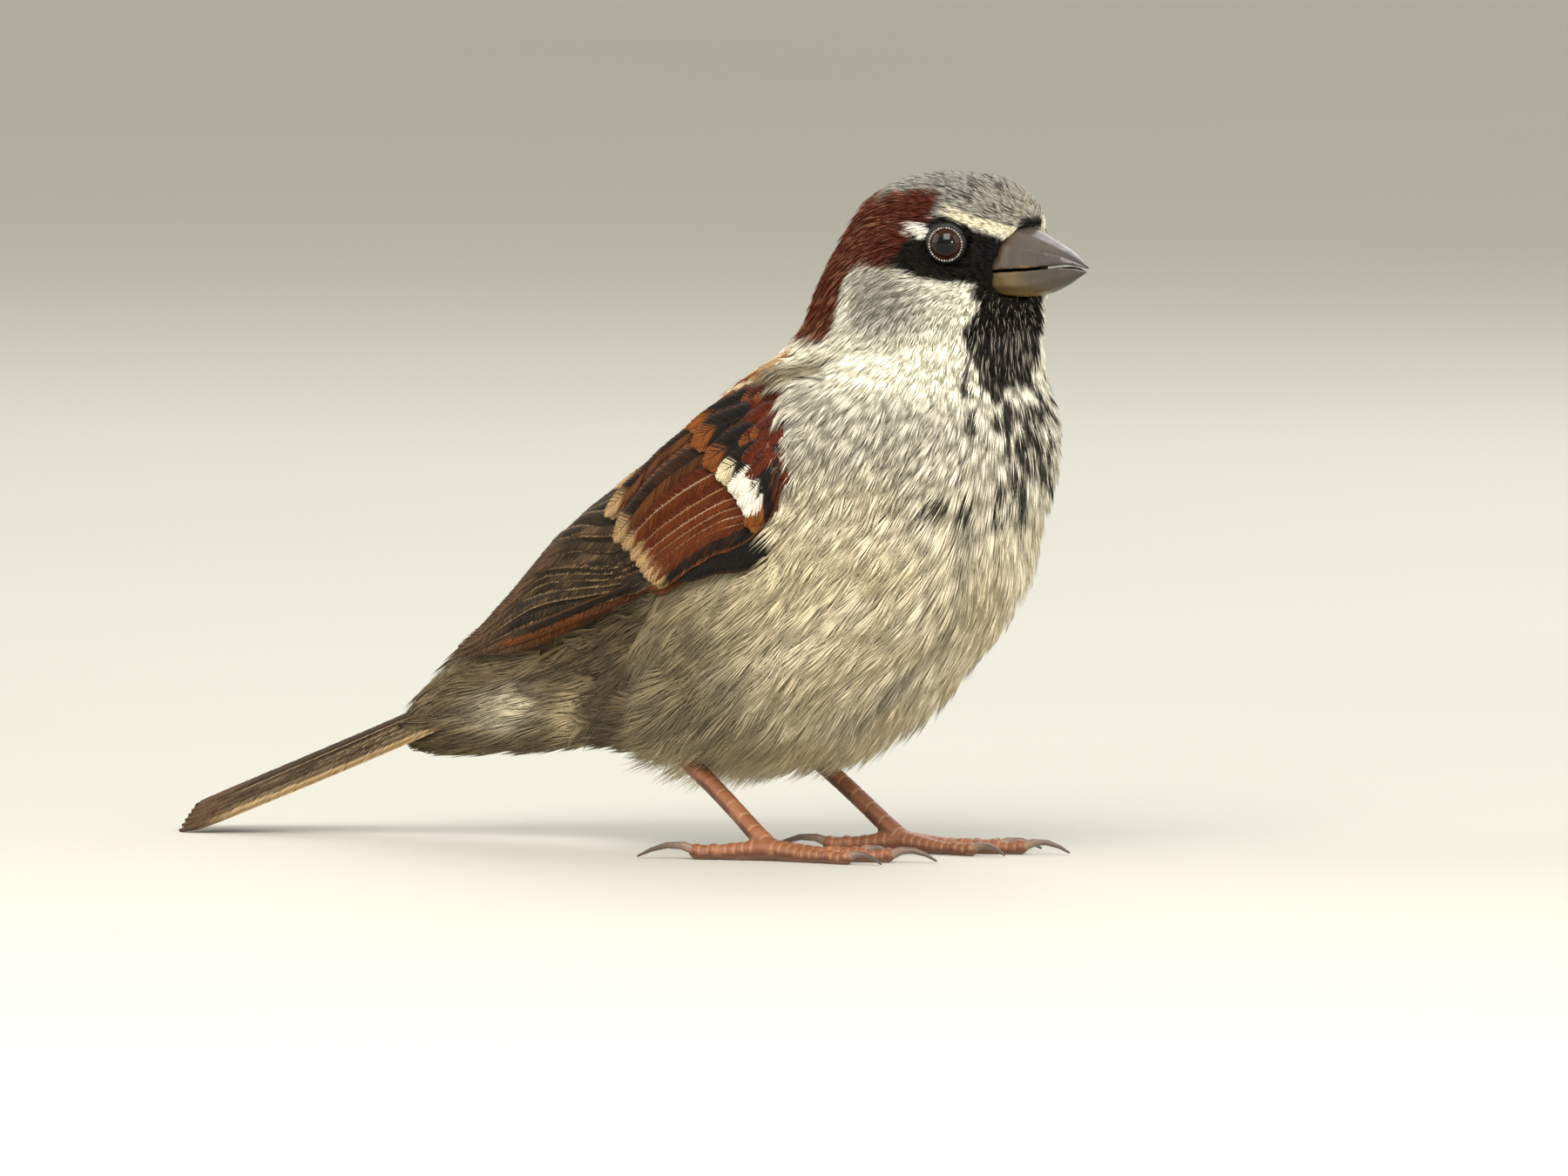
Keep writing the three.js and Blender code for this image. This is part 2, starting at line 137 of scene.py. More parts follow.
def along(knots: Knots, at: Array | float) -> Array:
    """A smooth line through knots, read at values of its first column.

    Args:
        knots: rows of a rising key and the values there.
        at: the key or keys to read.

    Returns:
        One row of values for each key.
    """
    table = np.array(knots, float)
    keys = table[:, 0]
    at = np.clip(at, keys[0], keys[-1])
    slopes = np.gradient(table[:, 1:], keys, axis=0)
    i = np.clip(np.searchsorted(keys, at) - 1, 0, len(keys) - 2)
    span = (keys[i + 1] - keys[i])[..., None]
    t = (at - keys[i])[..., None] / span
    a, b = table[i, 1:], table[i + 1, 1:]
    return ((1 + 2 * t) * (1 - t) ** 2 * a + t * (1 - t) ** 2 * span * slopes[i]
            + t * t * (3 - 2 * t) * b + t * t * (t - 1) * span * slopes[i + 1])


def level(knots: Knots, at: Array | float) -> Array:
    """The height at each key of a line with one value a knot."""
    return along(knots, at)[..., 0]


def grid_read(table: Array, corner: tuple[Array, ...], a: Array, b: Array) -> Array:
    """A table read between the four entries round each place.

    Args:
        table: the entries.
        corner: the indices of the entry before each place.
        a, b: how far each place lies past it, from 0 to 1, along the last two indices.

    Returns:
        One row for each place.
    """
    *front, i, j = corner
    return ((table[(*front, i, j)] * (1 - a) + table[(*front, i + 1, j)] * a) * (1 - b)
            + (table[(*front, i, j + 1)] * (1 - a) + table[(*front, i + 1, j + 1)] * a) * b)


def beside(points: Array, start: Array, end: Array, slack: float) -> Pair:
    """Each point's share along a straight line, up to slack past its ends, and its gap to it."""
    way = end - start
    share = np.clip(((points - start) @ way) / (way @ way), -slack, 1 + slack)
    return share, norm(points - (start + share[:, None] * way), axis=1)


def linear(hexed: str) -> Array:
    """An sRGB hex colour as three linear numbers."""
    value = np.array([int(hexed[i:i + 2], 16) for i in (1, 3, 5)]) / 255
    return np.where(value <= 0.04045, value / 12.92, ((value + 0.055) / 1.055) ** 2.4)


def shade(stops: Sequence[tuple[float, str]], at: Array) -> Array:
    """Linear colours mixed between stops of a place and an sRGB colour."""
    keys = [place for place, _ in stops]
    table = np.array([linear(colour) for _, colour in stops])
    return np.stack([np.interp(at, keys, table[:, i]) for i in range(3)], 1)


def lattice(points: Array, seed: int) -> Array:
    """Smooth seeded noise from 0 to 1 at each row of points, with features about one unit across."""
    cell = np.floor(points).astype(np.int64)
    part = points - cell
    part = part * part * (3 - 2 * part)
    total = np.zeros(points.shape[:-1])
    for corner in range(8):
        step = np.array([corner & 1, corner >> 1 & 1, corner >> 2 & 1])
        at = cell + step
        mixed = (at[..., 0] * 73856093) ^ (at[..., 1] * 19349663) ^ (at[..., 2] * 83492791) ^ seed
        mixed = (mixed * 1103515245 + 12345) & 0x7FFFFFFF
        total += ((mixed >> 8) & 0xFFFF) / 0xFFFF * np.prod(np.where(step == 1, part, 1 - part), axis=-1)
    return total


def make_mesh(name: str, points: Array, faces: Array, sides: Array, colours: Array | None = None,
              patches: Array | None = None, own_uv: Array | None = None) -> Object:
    """One joined mesh object from arrays, with its colours and maps.

    Args:
        name: the piece's name.
        points: rows in the straight frame, in millimetres.
        faces: corner indices, run together.
        sides: the number of corners of each face.
        colours: one linear colour for each point.
        patches: one bake map place for each point.
        own_uv: one place for each point on the map that the piece's pattern reads.

    Returns:
        The object, at the origin.
    """
    mesh = bpy.data.meshes.new(name)
    mesh.vertices.add(len(points))
    mesh.vertices.foreach_set("co", BIRD.out(points).astype(np.float32).ravel())
    mesh.loops.add(len(faces))
    mesh.loops.foreach_set("vertex_index", faces.astype(np.int32))
    mesh.polygons.add(len(sides))
    starts = np.concatenate([[0], np.cumsum(sides)[:-1]]).astype(np.int32)
    mesh.polygons.foreach_set("loop_start", starts)
    mesh.update(calc_edges=True)
    mesh.validate()
    for title, places in (("Vane", own_uv), ("OFBake", patches)):
        if places is not None:
            layer = mesh.uv_layers.new(name=title)
            layer.data.foreach_set("uv", places[faces].astype(np.float32).ravel())
    obj = bpy.data.objects.new(name, mesh)
    bpy.context.scene.collection.objects.link(obj)
    if colours is not None:
        tint_vertices(obj, colours)
    return obj


def primitive(name: str, operator: Callable[..., set], **sizes: object) -> Object:
    """Adds a primitive on its own and names it."""
    bpy.ops.object.select_all(action="DESELECT")
    operator(**sizes)
    obj = bpy.context.active_object
    obj.name = name
    return obj


def apply_modifiers(obj: Object) -> None:
    """Applies every modifier of obj, in order."""
    bpy.ops.object.select_all(action="DESELECT")
    obj.select_set(True)
    bpy.context.view_layer.objects.active = obj
    for modifier in list(obj.modifiers):
        bpy.ops.object.modifier_apply(modifier=modifier.name)


def modify(obj: Object, kind: str, **settings: object) -> None:
    """Adds a modifier with its settings."""
    made = obj.modifiers.new(kind.lower(), kind)
    for name, value in settings.items():
        setattr(made, name, value)


def merged_copy(nodes: Sequence[str], name: str, more: Object | None = None) -> Object:
    """Copies of CAD nodes as one object, with their doubles merged.

    Args:
        nodes: the nodes to copy.
        name: the new object's name.
        more: an object to take in with them.

    Returns:
        The copy, selected and active.
    """
    copies = [] if more is None else [more]
    for node in nodes:
        copy = bpy.data.objects.new(name, frame["nodes"][node].data.copy())
        bpy.context.scene.collection.objects.link(copy)
        copy.data.materials.clear()
        copies.append(copy)
    bpy.ops.object.select_all(action="DESELECT")
    for copy in copies:
        copy.select_set(True)
    bpy.context.view_layer.objects.active = copies[0]
    if len(copies) > 1:
        bpy.ops.object.join()
    obj = bpy.context.view_layer.objects.active
    obj.name = name
    bpy.ops.object.mode_set(mode="EDIT")
    bpy.ops.mesh.select_all(action="SELECT")
    bpy.ops.mesh.remove_doubles(threshold=1e-6)
    bpy.ops.object.mode_set(mode="OBJECT")
    return obj


def softened(nodes: Sequence[str], name: str, voxel: float, joined: float = 0.0, rounds: int = 0,
             more: Object | None = None) -> Object:
    """Copies of CAD nodes as one closed object of even small faces.

    Args:
        nodes: the nodes.
        name: the piece's name.
        voxel: size of its faces, in millimetres.
        joined: half the gap to close between the nodes.
        rounds: how many times it is smoothed.
        more: an object to take in with them.

    Returns:
        The object.
    """
    obj = merged_copy(nodes, name, more)
    modify(obj, "REMESH", mode="VOXEL", voxel_size=voxel * MM)
    if joined:
        modify(obj, "DISPLACE", strength=joined * MM, mid_level=0.0)
        modify(obj, "REMESH", mode="VOXEL", voxel_size=voxel * MM)
        modify(obj, "DISPLACE", strength=-joined * MM, mid_level=0.0)
    if rounds:
        modify(obj, "SMOOTH", iterations=rounds)
    apply_modifiers(obj)
    return obj


def vertices_of(obj: Object) -> Array:
    """The vertices of obj as they are stored: metres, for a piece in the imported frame."""
    co = np.zeros(len(obj.data.vertices) * 3, np.float32)
    obj.data.vertices.foreach_get("co", co)
    return co.reshape(-1, 3).astype(float)


def normals_of(obj: Object) -> Array:
    """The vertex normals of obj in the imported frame."""
    normals = np.zeros(len(obj.data.vertices) * 3, np.float32)
    obj.data.vertex_normals.foreach_get("vector", normals)
    return normals.reshape(-1, 3).astype(float)


def straight(obj: Object) -> Array:
    """The vertices of obj in the straight frame, in millimetres."""
    return BIRD.back(vertices_of(obj))


def place_vertices(obj: Object, points: Array) -> None:
    """Writes stored vertices back into the mesh of obj."""
    obj.data.vertices.foreach_set("co", points.astype(np.float32).ravel())
    obj.data.update()


def tint_vertices(obj: Object, colours: Array) -> None:
    """Stores one linear colour for each vertex of obj."""
    tint = obj.data.color_attributes.new("Tint", "FLOAT_COLOR", "POINT")
    rgba = np.concatenate([np.clip(colours, 0, 1), np.ones((len(colours), 1))], axis=1)
    tint.data.foreach_set("color", rgba.astype(np.float32).ravel())


class Surface:
    """A surface to lay feathers on, in the straight frame, in millimetres."""

    def __init__(self, obj: Object) -> None:
        """Reads the triangles of obj.

        Args:
            obj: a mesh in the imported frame.
        """
        self.points = straight(obj)
        obj.data.calc_loop_triangles()
        corners = np.zeros(len(obj.data.loop_triangles) * 3, np.int32)
        obj.data.loop_triangles.foreach_get("vertices", corners)
        self.faces = corners.reshape(-1, 3)
        self.tree = BVHTree.FromPolygons(self.points.tolist(), self.faces.tolist())
        a, b, c = (self.points[self.faces[:, i]] for i in range(3))
        cross = np.cross(b - a, c - a)
        self.areas = norm(cross, axis=1) / 2
        self.vertex_normals = np.zeros_like(self.points)
        for i in range(3):
            np.add.at(self.vertex_normals, self.faces[:, i], cross)
        self.vertex_normals = unit(self.vertex_normals)

    def nearest(self, points: Array) -> Pair:
        """The nearest place on the surface to each row of points, and its smooth normal."""
        flat = points.reshape(-1, 3)
        places, normals = np.zeros_like(flat), np.zeros_like(flat)
        for i, point in enumerate(flat):
            places[i], _, face, _ = self.tree.find_nearest(Vector(point))
            corners = self.faces[face]
            reach = norm(self.points[corners] - places[i], axis=1) + 1e-4
            normals[i] = (self.vertex_normals[corners] / reach[:, None]).sum(0)
        return places.reshape(points.shape), unit(normals).reshape(points.shape)

    def cast(self, start: Array, direction: Array) -> Array | None:
        """Where a ray first meets the surface, or None."""
        place, _, _, _ = self.tree.ray_cast(Vector(start), Vector(direction))
        return None if place is None else np.array(place)

    def scatter(self, count: int, rng: Random) -> Pair:
        """Random places on the surface, even by area, with their normals."""
        share = self.areas / self.areas.sum()
        face = rng.choice(len(share), size=count, p=share)
        mix = rng.random((count, 2))
        flip = mix.sum(1) > 1
        mix[flip] = 1 - mix[flip]
        weights = np.stack([1 - mix.sum(1), mix[:, 0], mix[:, 1]], axis=1)[:, :, None]
        corners = self.faces[face]
        places = (self.points[corners] * weights).sum(1)
        return places, unit((self.vertex_normals[corners] * weights).sum(1))


# ---------------- finishes
def wire(tree: Tree, made: Node, inputs: dict) -> None:
    """Sets or links inputs of a node.

    Args:
        tree: the node tree.
        made: the node.
        inputs: a value, a socket, or a node whose first output is meant, by the input's name or number.
    """
    for key, value in inputs.items():
        if isinstance(value, Node):
            value = value.outputs[0]
        if isinstance(value, bpy.types.NodeSocket):
            tree.links.new(value, made.inputs[key])
        else:
            made.inputs[key].default_value = value


def add(tree: Tree, kind: str, inputs: dict, stops: Sequence[tuple[float, Array]] = (),
        **settings: object) -> Node:
    """Adds a node with its settings and links.

    Args:
        tree: the node tree.
        kind: the node's type, after "ShaderNode".
        inputs: as for wire.
        stops: positions and linear colours of a colour ramp.
        settings: properties of the node.

    Returns:
        The node.
    """
    made = tree.nodes.new(f"ShaderNode{kind}")
    for name, value in settings.items():
        setattr(made, name, value)
    wire(tree, made, inputs)
    for number, (place, colour) in enumerate(stops):
        elements = made.color_ramp.elements
        element = elements[number] if number < len(elements) else elements.new(place)
        element.position, element.color = place, (*colour, 1.0)
    return made


@dataclass(frozen=True)
class Finish:
    """What every finish shares: a name, and one Principled shader with the values set on it."""

    name: str
    roughness: float = 0.7
    specular: float = 0.3
    sheen: float = 0.0
    coat: float = 0.0

    def material(self) -> bpy.types.Material:
        """The material of this finish, made once."""
        made = bpy.data.materials.get(self.name)
        if made is None:
            made = bpy.data.materials.new(self.name)
            made.use_nodes = True
            tree = made.node_tree
            wire(tree, tree.nodes["Principled BSDF"], {
                "Roughness": self.roughness, "Specular IOR Level": self.specular,
                "Sheen Weight": self.sheen, "Sheen Roughness": 0.4, "Coat Weight": self.coat,
                "Coat Roughness": 0.06, **self.dress(tree)})
        return made

    def dress(self, tree: Tree) -> dict:
        """What feeds the shader's colour, roughness and normal."""
        raise NotImplementedError

    def put_on(self, obj: Object, slot: str, nodes: Sequence[str] = ()) -> None:
        """Shades and dresses a piece, makes it ride on the body, and reports it.

        Args:
            obj: the piece.
            slot: the record's material slot; not used.
            nodes: the CAD nodes that it stands for.
        """
        obj.data.polygons.foreach_set("use_smooth", np.ones(len(obj.data.polygons), bool))
        obj.data.materials.clear()
        obj.data.materials.append(self.material())
        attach(obj, "root")
        if nodes:
            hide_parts(*nodes)
        log.info("%s: %d faces", obj.name, len(obj.data.polygons))

    def tinted(self, tree: Tree, factor: object, dark: float, light: float) -> Node:
        """The piece's own colours, darkened and lightened between two shares by factor."""
        shares = add(tree, "MapRange", {0: factor, 3: dark, 4: light})
        tint = add(tree, "VertexColor", {}, layer_name="Tint")
        return add(tree, "VectorMath", {0: tint, "Scale": shares}, operation="SCALE")

    def places(self, tree: Tree, across_mm: float) -> Node:
        """Object coordinates, scaled so that one unit is across_mm."""
        where = add(tree, "TexCoord", {}).outputs["Object"]
        return add(tree, "VectorMath", {0: where, "Scale": 1 / (across_mm * MM)}, operation="SCALE")


@dataclass(frozen=True)
class DownSkin(Finish):
    """Down over skin: matt, soft and mottled, seen only between the feathers, and darkened as painted
    shade.
    """

    mottle_mm: float = 1.4
    down_mm: float = 0.35

    def dress(self, tree: Tree) -> dict:
        """Mottles the tint and darkens it as painted shade between the feathers, with fine bump for the
        down.
        """
        mottle = add(tree, "TexNoise", {"Vector": self.places(tree, self.mottle_mm), "Scale": 1.0,
                                        "Detail": 3.0})
        down = add(tree, "TexNoise", {"Vector": self.places(tree, self.down_mm), "Scale": 1.0})
        bump = add(tree, "Bump", {"Height": down, "Strength": 0.5, "Distance": 0.15 * MM})
        # Painted shade: the tint is taken to between 0.45 and 0.8 of itself, for the shade between the
        # feathers.
        return {"Base Color": self.tinted(tree, mottle, 0.45, 0.8), "Normal": bump}


@dataclass(frozen=True)
class BarbKeratin(Finish):
    """Loose barbs of body feathers: matt keratin, with a faint silky sheen along the lie."""

    flake_mm: float = 0.5

    def dress(self, tree: Tree) -> dict:
        """Varies the tint finely, as wear and barbules do."""
        flakes = add(tree, "TexNoise", {"Vector": self.places(tree, self.flake_mm), "Scale": 1.0,
                                        "Detail": 2.0})
        rough = add(tree, "MapRange", {0: flakes, 3: self.roughness - 0.08, 4: self.roughness + 0.1})
        return {"Base Color": self.tinted(tree, flakes, 0.8, 1.22), "Roughness": rough}


@dataclass(frozen=True)
class VaneKeratin(Finish):
    """Closed vanes of wing and tail feathers: zipped barbs show as fine slanting lines."""

    barbs: float = 46.0  # barb lines along a vane, drawn coarser than the real 0.1 mm to show
    slant: float = 0.22
    grit_mm: float = 0.8

    def dress(self, tree: Tree) -> dict:
        """Draws the barbs from the vane's own map, in bump and in colour, where the colour darkens in the
        grooves between barbs as painted shade.
        """
        own = add(tree, "UVMap", {}, uv_map="Vane")
        parts = add(tree, "SeparateXYZ", {0: own})
        side = add(tree, "Math", {0: parts, 1: 0.5}, operation="SUBTRACT")
        out = add(tree, "Math", {0: side}, operation="ABSOLUTE")
        lean = add(tree, "Math", {0: out, 1: self.slant}, operation="MULTIPLY")
        down = add(tree, "Math", {0: parts.outputs[1], 1: lean}, operation="SUBTRACT")
        grit = add(tree, "TexNoise", {"Vector": self.places(tree, self.grit_mm), "Scale": 1.0,
                                      "Detail": 3.0})
        shift = add(tree, "Math", {0: grit, 1: 0.02, 2: down}, operation="MULTIPLY_ADD")
        turns = add(tree, "Math", {0: shift, 1: self.barbs * math.tau}, operation="MULTIPLY")
        line = add(tree, "Math", {0: turns}, operation="SINE")
        height = add(tree, "MapRange", {0: line, 1: -1.0, 2: 1.0})
        # Painted shade: the colour follows the bump's height, darker in the grooves between barbs.
        groove_shade_and_grit = add(tree, "Math", {0: height, 1: 0.35, 2: grit}, operation="MULTIPLY_ADD")
        bump = add(tree, "Bump", {"Height": height, "Strength": 0.35, "Distance": 0.06 * MM})
        return {"Base Color": self.tinted(tree, groove_shade_and_grit, 0.68, 1.22), "Normal": bump}


@dataclass(frozen=True)
class BillHorn(Finish):
    """Bill horn: hard keratin, waxy gloss, with faint growth lines and scuffs."""

    cloud_mm: float = 2.4
    scuff_mm: float = 0.45

    def dress(self, tree: Tree) -> dict:
        """Clouds the tint, scuffs the gloss and raises growth lines."""
        cloud = add(tree, "TexNoise", {"Vector": self.places(tree, self.cloud_mm), "Scale": 1.0,
                                       "Detail": 4.0, "Distortion": 0.6})
        scuffs = add(tree, "TexNoise", {"Vector": self.places(tree, self.scuff_mm), "Scale": 1.0,
                                        "Detail": 5.0, "Roughness": 0.7})
        rough = add(tree, "MapRange", {0: scuffs, 1: 0.35, 2: 0.7, 3: 0.22, 4: 0.46})
        bump = add(tree, "Bump", {"Height": scuffs, "Strength": 0.3, "Distance": 0.05 * MM})
        return {"Base Color": self.tinted(tree, cloud, 0.72, 1.3), "Roughness": rough, "Normal": bump}


@dataclass(frozen=True)
class LegScales(Finish):
    """Leg and toe skin: dry horny plates with paler seams, and a fine pebbled grain."""

    grain_mm: float = 0.28
    blotch_mm: float = 1.1

    def dress(self, tree: Tree) -> dict:
        """Grains the tint, and pebbles the surface."""
        grain = add(tree, "TexVoronoi", {"Vector": self.places(tree, self.grain_mm), "Scale": 1.0})
        blotch = add(tree, "TexNoise", {"Vector": self.places(tree, self.blotch_mm), "Scale": 1.0,
                                        "Detail": 3.0})
        bump = add(tree, "Bump", {"Height": grain, "Strength": 0.45, "Distance": 0.05 * MM})
        return {"Base Color": self.tinted(tree, blotch, 0.75, 1.25), "Normal": bump}


@dataclass(frozen=True)
class WetEye(Finish):
    """A living eye: black pupil and fibrous brown iris under a clear wet front."""

    fibre_mm: float = 0.22

    def dress(self, tree: Tree) -> dict:
        """Rings the iris from the ball's own map, whose height runs from the front to the back."""
        own = add(tree, "UVMap", {}, uv_map="Iris")
        parts = add(tree, "SeparateXYZ", {0: own})
        fibres = add(tree, "TexNoise", {"Vector": self.places(tree, self.fibre_mm), "Scale": 1.0,
                                        "Detail": 3.0})
        reach = add(tree, "Math", {0: fibres, 1: 0.012, 2: parts.outputs[1]}, operation="MULTIPLY_ADD")
        rings = ((0.0, "#020202"), (0.098, "#040303"), (0.112, "#150a04"), (0.16, "#2c1509"),
                 (0.208, "#1c0d06"), (0.232, "#080504"), (1.0, "#0a0706"))
        return {"Base Color": add(tree, "ValToRGB", {0: reach},
                                  [(place, linear(colour)) for place, colour in rings])}


BARBS = BarbKeratin("body_feather_barbs", roughness=0.72, specular=0.14, sheen=0.04)
HEAD_BARBS = BarbKeratin("head_feather_barbs", roughness=0.7, specular=0.12, flake_mm=0.4)
VANES = VaneKeratin("closed_feather_vanes", roughness=0.62, specular=0.16)
DOWN = DownSkin("down_over_skin", roughness=0.9, specular=0.1)
BILL = BillHorn("bill_keratin", roughness=0.24, specular=0.5, coat=0.1)
CLAW = BillHorn("claw_keratin", roughness=0.3, specular=0.5, coat=0.15)
LEGS = LegScales("leg_plates", roughness=0.5, specular=0.4)
LIDS = LegScales("eyelid_skin", roughness=0.5, specular=0.35, grain_mm=0.2)
EYES = WetEye("wet_eye", roughness=0.04, specular=0.28)


# ---------------- markings
class Ink:
    """The colours of the plumage, linear, from sRGB."""

    CROWN = linear("#9b9992")
    CROWN_STREAK = linear("#26231f")
    FOREHEAD = linear("#a89d84")
    CHESTNUT = linear("#522213")
    CHESTNUT_FRINGE = linear("#96694f")
    CREAM = linear("#e6dcc0")
    WHITE = linear("#f4f0e2")
    BLACK = linear("#15120f")
    EAR = linear("#b1afa3")
    COLLAR = linear("#fbf6e2")
    NAPE = linear("#92876c")
    BIB_FRINGE = linear("#a8a090")
    BREAST = linear("#e4ddcb")
    BREAST_GREY = linear("#bfbaab")
    BELLY = linear("#f0e6cc")
    BUFF = linear("#d6c69d")
    FLANK = linear("#7f7154")
    REAR = linear("#5a4729")
    RUFOUS = linear("#a5653a")
    MANTLE = linear("#9c7a4e")
    MANTLE_BLACK = linear("#231a13")
    RUMP = linear("#8b806a")
    VENT = linear("#cfc5ab")
    # Painted shade, low on the rear of the belly.
    UNDER_SHADE = linear("#4f412c")
    DOWN_GREY = linear("#57534b")


# Edge of the chestnut above the ear: X, and the height above which a place is chestnut.
CHESTNUT_EDGE = ((6, 58.5), (8.4, 62), (9, 65.6), (10.4, 67.8), (14, 68.3), (17.5, 69),
                 (20, 72.2), (21.2, 73.6), (22.5, 79))
# Middle of the cream stripe from the bill over the eye: X and height.
STRIPE = ((21.5, 75.9), (24.3, 75), (27.5, 73.9), (30.4, 72.6))
# Upper and lower edges of the black through the eye: X, lower height, upper height.
MASK_EDGES = ((16.4, 68.9, 69.5), (18.5, 68.4, 71.4), (20.5, 67.9, 73.6), (23, 67.4, 74.9),
              (25.4, 67.2, 73.9), (28, 66.6, 72.8), (29.6, 66, 72.2), (31.5, 66, 74.6))
# The bib: height, middle and half width across the throat.
BIB = ((51, -1.2, 1.8), (54, -1.6, 3.4), (56.5, -1, 5.2), (59, -0.6, 6.5), (61, -0.4, 6.4),
       (63.5, 0, 5.4), (66, 0, 5.4), (69, 0, 6.2))
# The parting between the flank feathers and the belly's, as places, along which a shadow line is painted.
PARTING = ((25.8, -5.9, 37), (24.6, -4.6, 31), (20.8, -3.3, 24.6), (14.4, -3.8, 19), (6, -4.4, 13.8))
# The lower edge of the back's colours: X and height.
BACK_EDGE = ((-60, 14), (-47, 24), (-36, 30), (-20, 37), (-8, 46), (2, 52), (8, 55.5), (13, 62))
# Oval marks: the X and height of the middle, then half the length and half the height.
EAR_GREY = (15.3, 64.3, 7.2, 4.8)
EAR_RIM = (9.8, 62.6, 0.9, 2.0)
MALAR = (28.2, 65.8, 1.7, 2.0)
EYE_SPOT = (19.8, 73.1, 1.75, 0.75)
VENT_PALE = (-48.5, 13.6, 3.4, 2.2)
VENT_CREAM = (-40.0, 13.0, 2.0, 3.2)


def oval(x: Array, z: Array, mark: tuple[float, float, float, float]) -> Array:
    """The square of each place's reach from the middle of an oval mark: 1 on its rim."""
    return ((x - mark[0]) / mark[2]) ** 2 + ((z - mark[1]) / mark[3]) ** 2


def near_line(points: Array, knots: Knots) -> Array:
    """The distance from each point to a line of knots."""
    line = np.array(knots, float)
    return np.min([beside(points, a, b, 0.0)[1] for a, b in zip(line[:-1], line[1:])], axis=0)


class Markings:
    """The colour of the body's plumage at any place, the same for the skin and the coat."""

    @staticmethod
    def at(points: Array, across: Array, luck: Array, fine: Array) -> Array:
        """The colour of barbs.

        Args:
            points: where each barb shows, in the straight frame.
            across: -1 to 1 over the width of its feather.
            luck: one random number for the feather.
            fine: one random number for the barb.

        Returns:
            One linear colour for each barb.
        """
        ragged = (lattice(points * 1.3, 11) - 0.5) * 1.2 + (fine - 0.5) * 0.7
        x, y, z = points.T
        head = Markings.head(x, np.abs(y), z + 0.6 * ease(60, 66, z), ragged, luck, fine)
        onto_head = ease(-0.8, 0.8, (z - 57.5) + (x - 12.0) * -0.12 + ragged)
        colour = lerp(Markings.body(points, across, luck, fine), head, onto_head)
        return Markings.bib(colour, points, across, luck, fine, ragged)

    @staticmethod
    def head(x: Array, out: Array, z: Array, ragged: Array, luck: Array, fine: Array) -> Array:
        """The colours above the collar: crown, chestnut, ear, lores and the pale marks."""
        streak = ease(0.66, 0.78, luck * 0.55 + fine * 0.5)
        crown = lerp(Ink.CROWN, Ink.CROWN_STREAK, streak * 0.85)
        crown = lerp(crown, Ink.FOREHEAD, ease(22, 29, x) * 0.4 * (1 - streak))
        greyness = np.exp(-oval(x, z, EAR_GREY))
        ear = lerp(Ink.COLLAR * 0.93, Ink.EAR, np.clip(greyness * 1.2, 0, 1))
        ear = lerp(ear, Ink.DOWN_GREY, (fine > 0.76) * greyness * 0.5)
        ear = lerp(ear, Ink.WHITE, ease(1.6, 0.6, np.sqrt(oval(x, z, EAR_RIM))))
        chestnut = lerp(Ink.CHESTNUT, Ink.CHESTNUT_FRINGE, (fine > 0.74) * 0.65 * ease(20, 12, x))
        above = ease(-0.45, 0.45, z - level(CHESTNUT_EDGE, x) + ragged * 0.6)
        side = ease(-0.8, 0.8, out - 5.3 + ragged + ease(11, 6, x) * 7.0)
        colour = lerp(ear, chestnut, above)
        on_crown = ease(-0.6, 0.6, np.maximum(z - 72.5, (x - 8) * 0.6) + ragged)
        over = above * on_crown * (1 - side) + ease(20.6, 21.8, x + ragged * 0.5) * ease(72.5, 73.5, z)
        colour = lerp(colour, crown, np.clip(over, 0, 1))
        stripe = ease(0.8, 0.45, np.abs(z - level(STRIPE, x)) + ragged * 0.25)
        colour = lerp(colour, Ink.CREAM, stripe * ease(21.5, 23.5, x) * ease(30.9, 30.2, x))
        low, high = along(MASK_EDGES, x).T
        mask = ease(-0.3, 0.3, z - low + ragged * 0.45) * ease(-0.3, 0.3, high - z + ragged * 0.2)
        mask = mask * ease(16, 18, x) * ease(1.2, 2.4, out)
        malar = ease(1.2, 0.7, np.sqrt(oval(x, z, MALAR)) + ragged * 0.1)
        front = ease(29.7, 30.3, x + ragged * 0.5) * ease(75.2, 74.4, z)
        colour = lerp(colour, Ink.BLACK, np.clip(mask + malar + front, 0, 1))
        leaning = z + (x - 19.9) * 0.3
        return lerp(colour, Ink.WHITE, ease(1.25, 0.8, np.sqrt(oval(x, leaning, EYE_SPOT))))

    @staticmethod
    def bib(colour: Array, points: Array, across: Array, luck: Array, fine: Array,
            ragged: Array) -> Array:
        """Lays the black bib, its pale fringes and the spots below it over colour."""
        x, y, z = points.T
        middle, half = along(BIB, z).T
        reach = np.abs(y - middle) - half
        black = (ease(0.35, -0.35, reach + ragged * 0.8) * ease(52, 54, z + ragged)
                 * ease(15, 19, x) * ease(70, 69, z))
        fringe = (fine > 0.68 + 0.18 * ease(57, 63, z)) * 0.65 * ease(67, 63, z)
        colour = lerp(colour, lerp(Ink.BLACK, Ink.BIB_FRINGE, fringe), black)
        share = 0.6 * np.exp(-((y - 0.5) / 9.0) ** 2) * (ease(36, 39, z) * ease(57, 54, z)
                                                         * ease(16, 20, x))
        spots = (luck < share) * (share > 0.1) * ease(0.72, 0.5, np.abs(across)) * (fine > 0.06)
        return lerp(colour, Ink.BLACK, spots * 0.96)

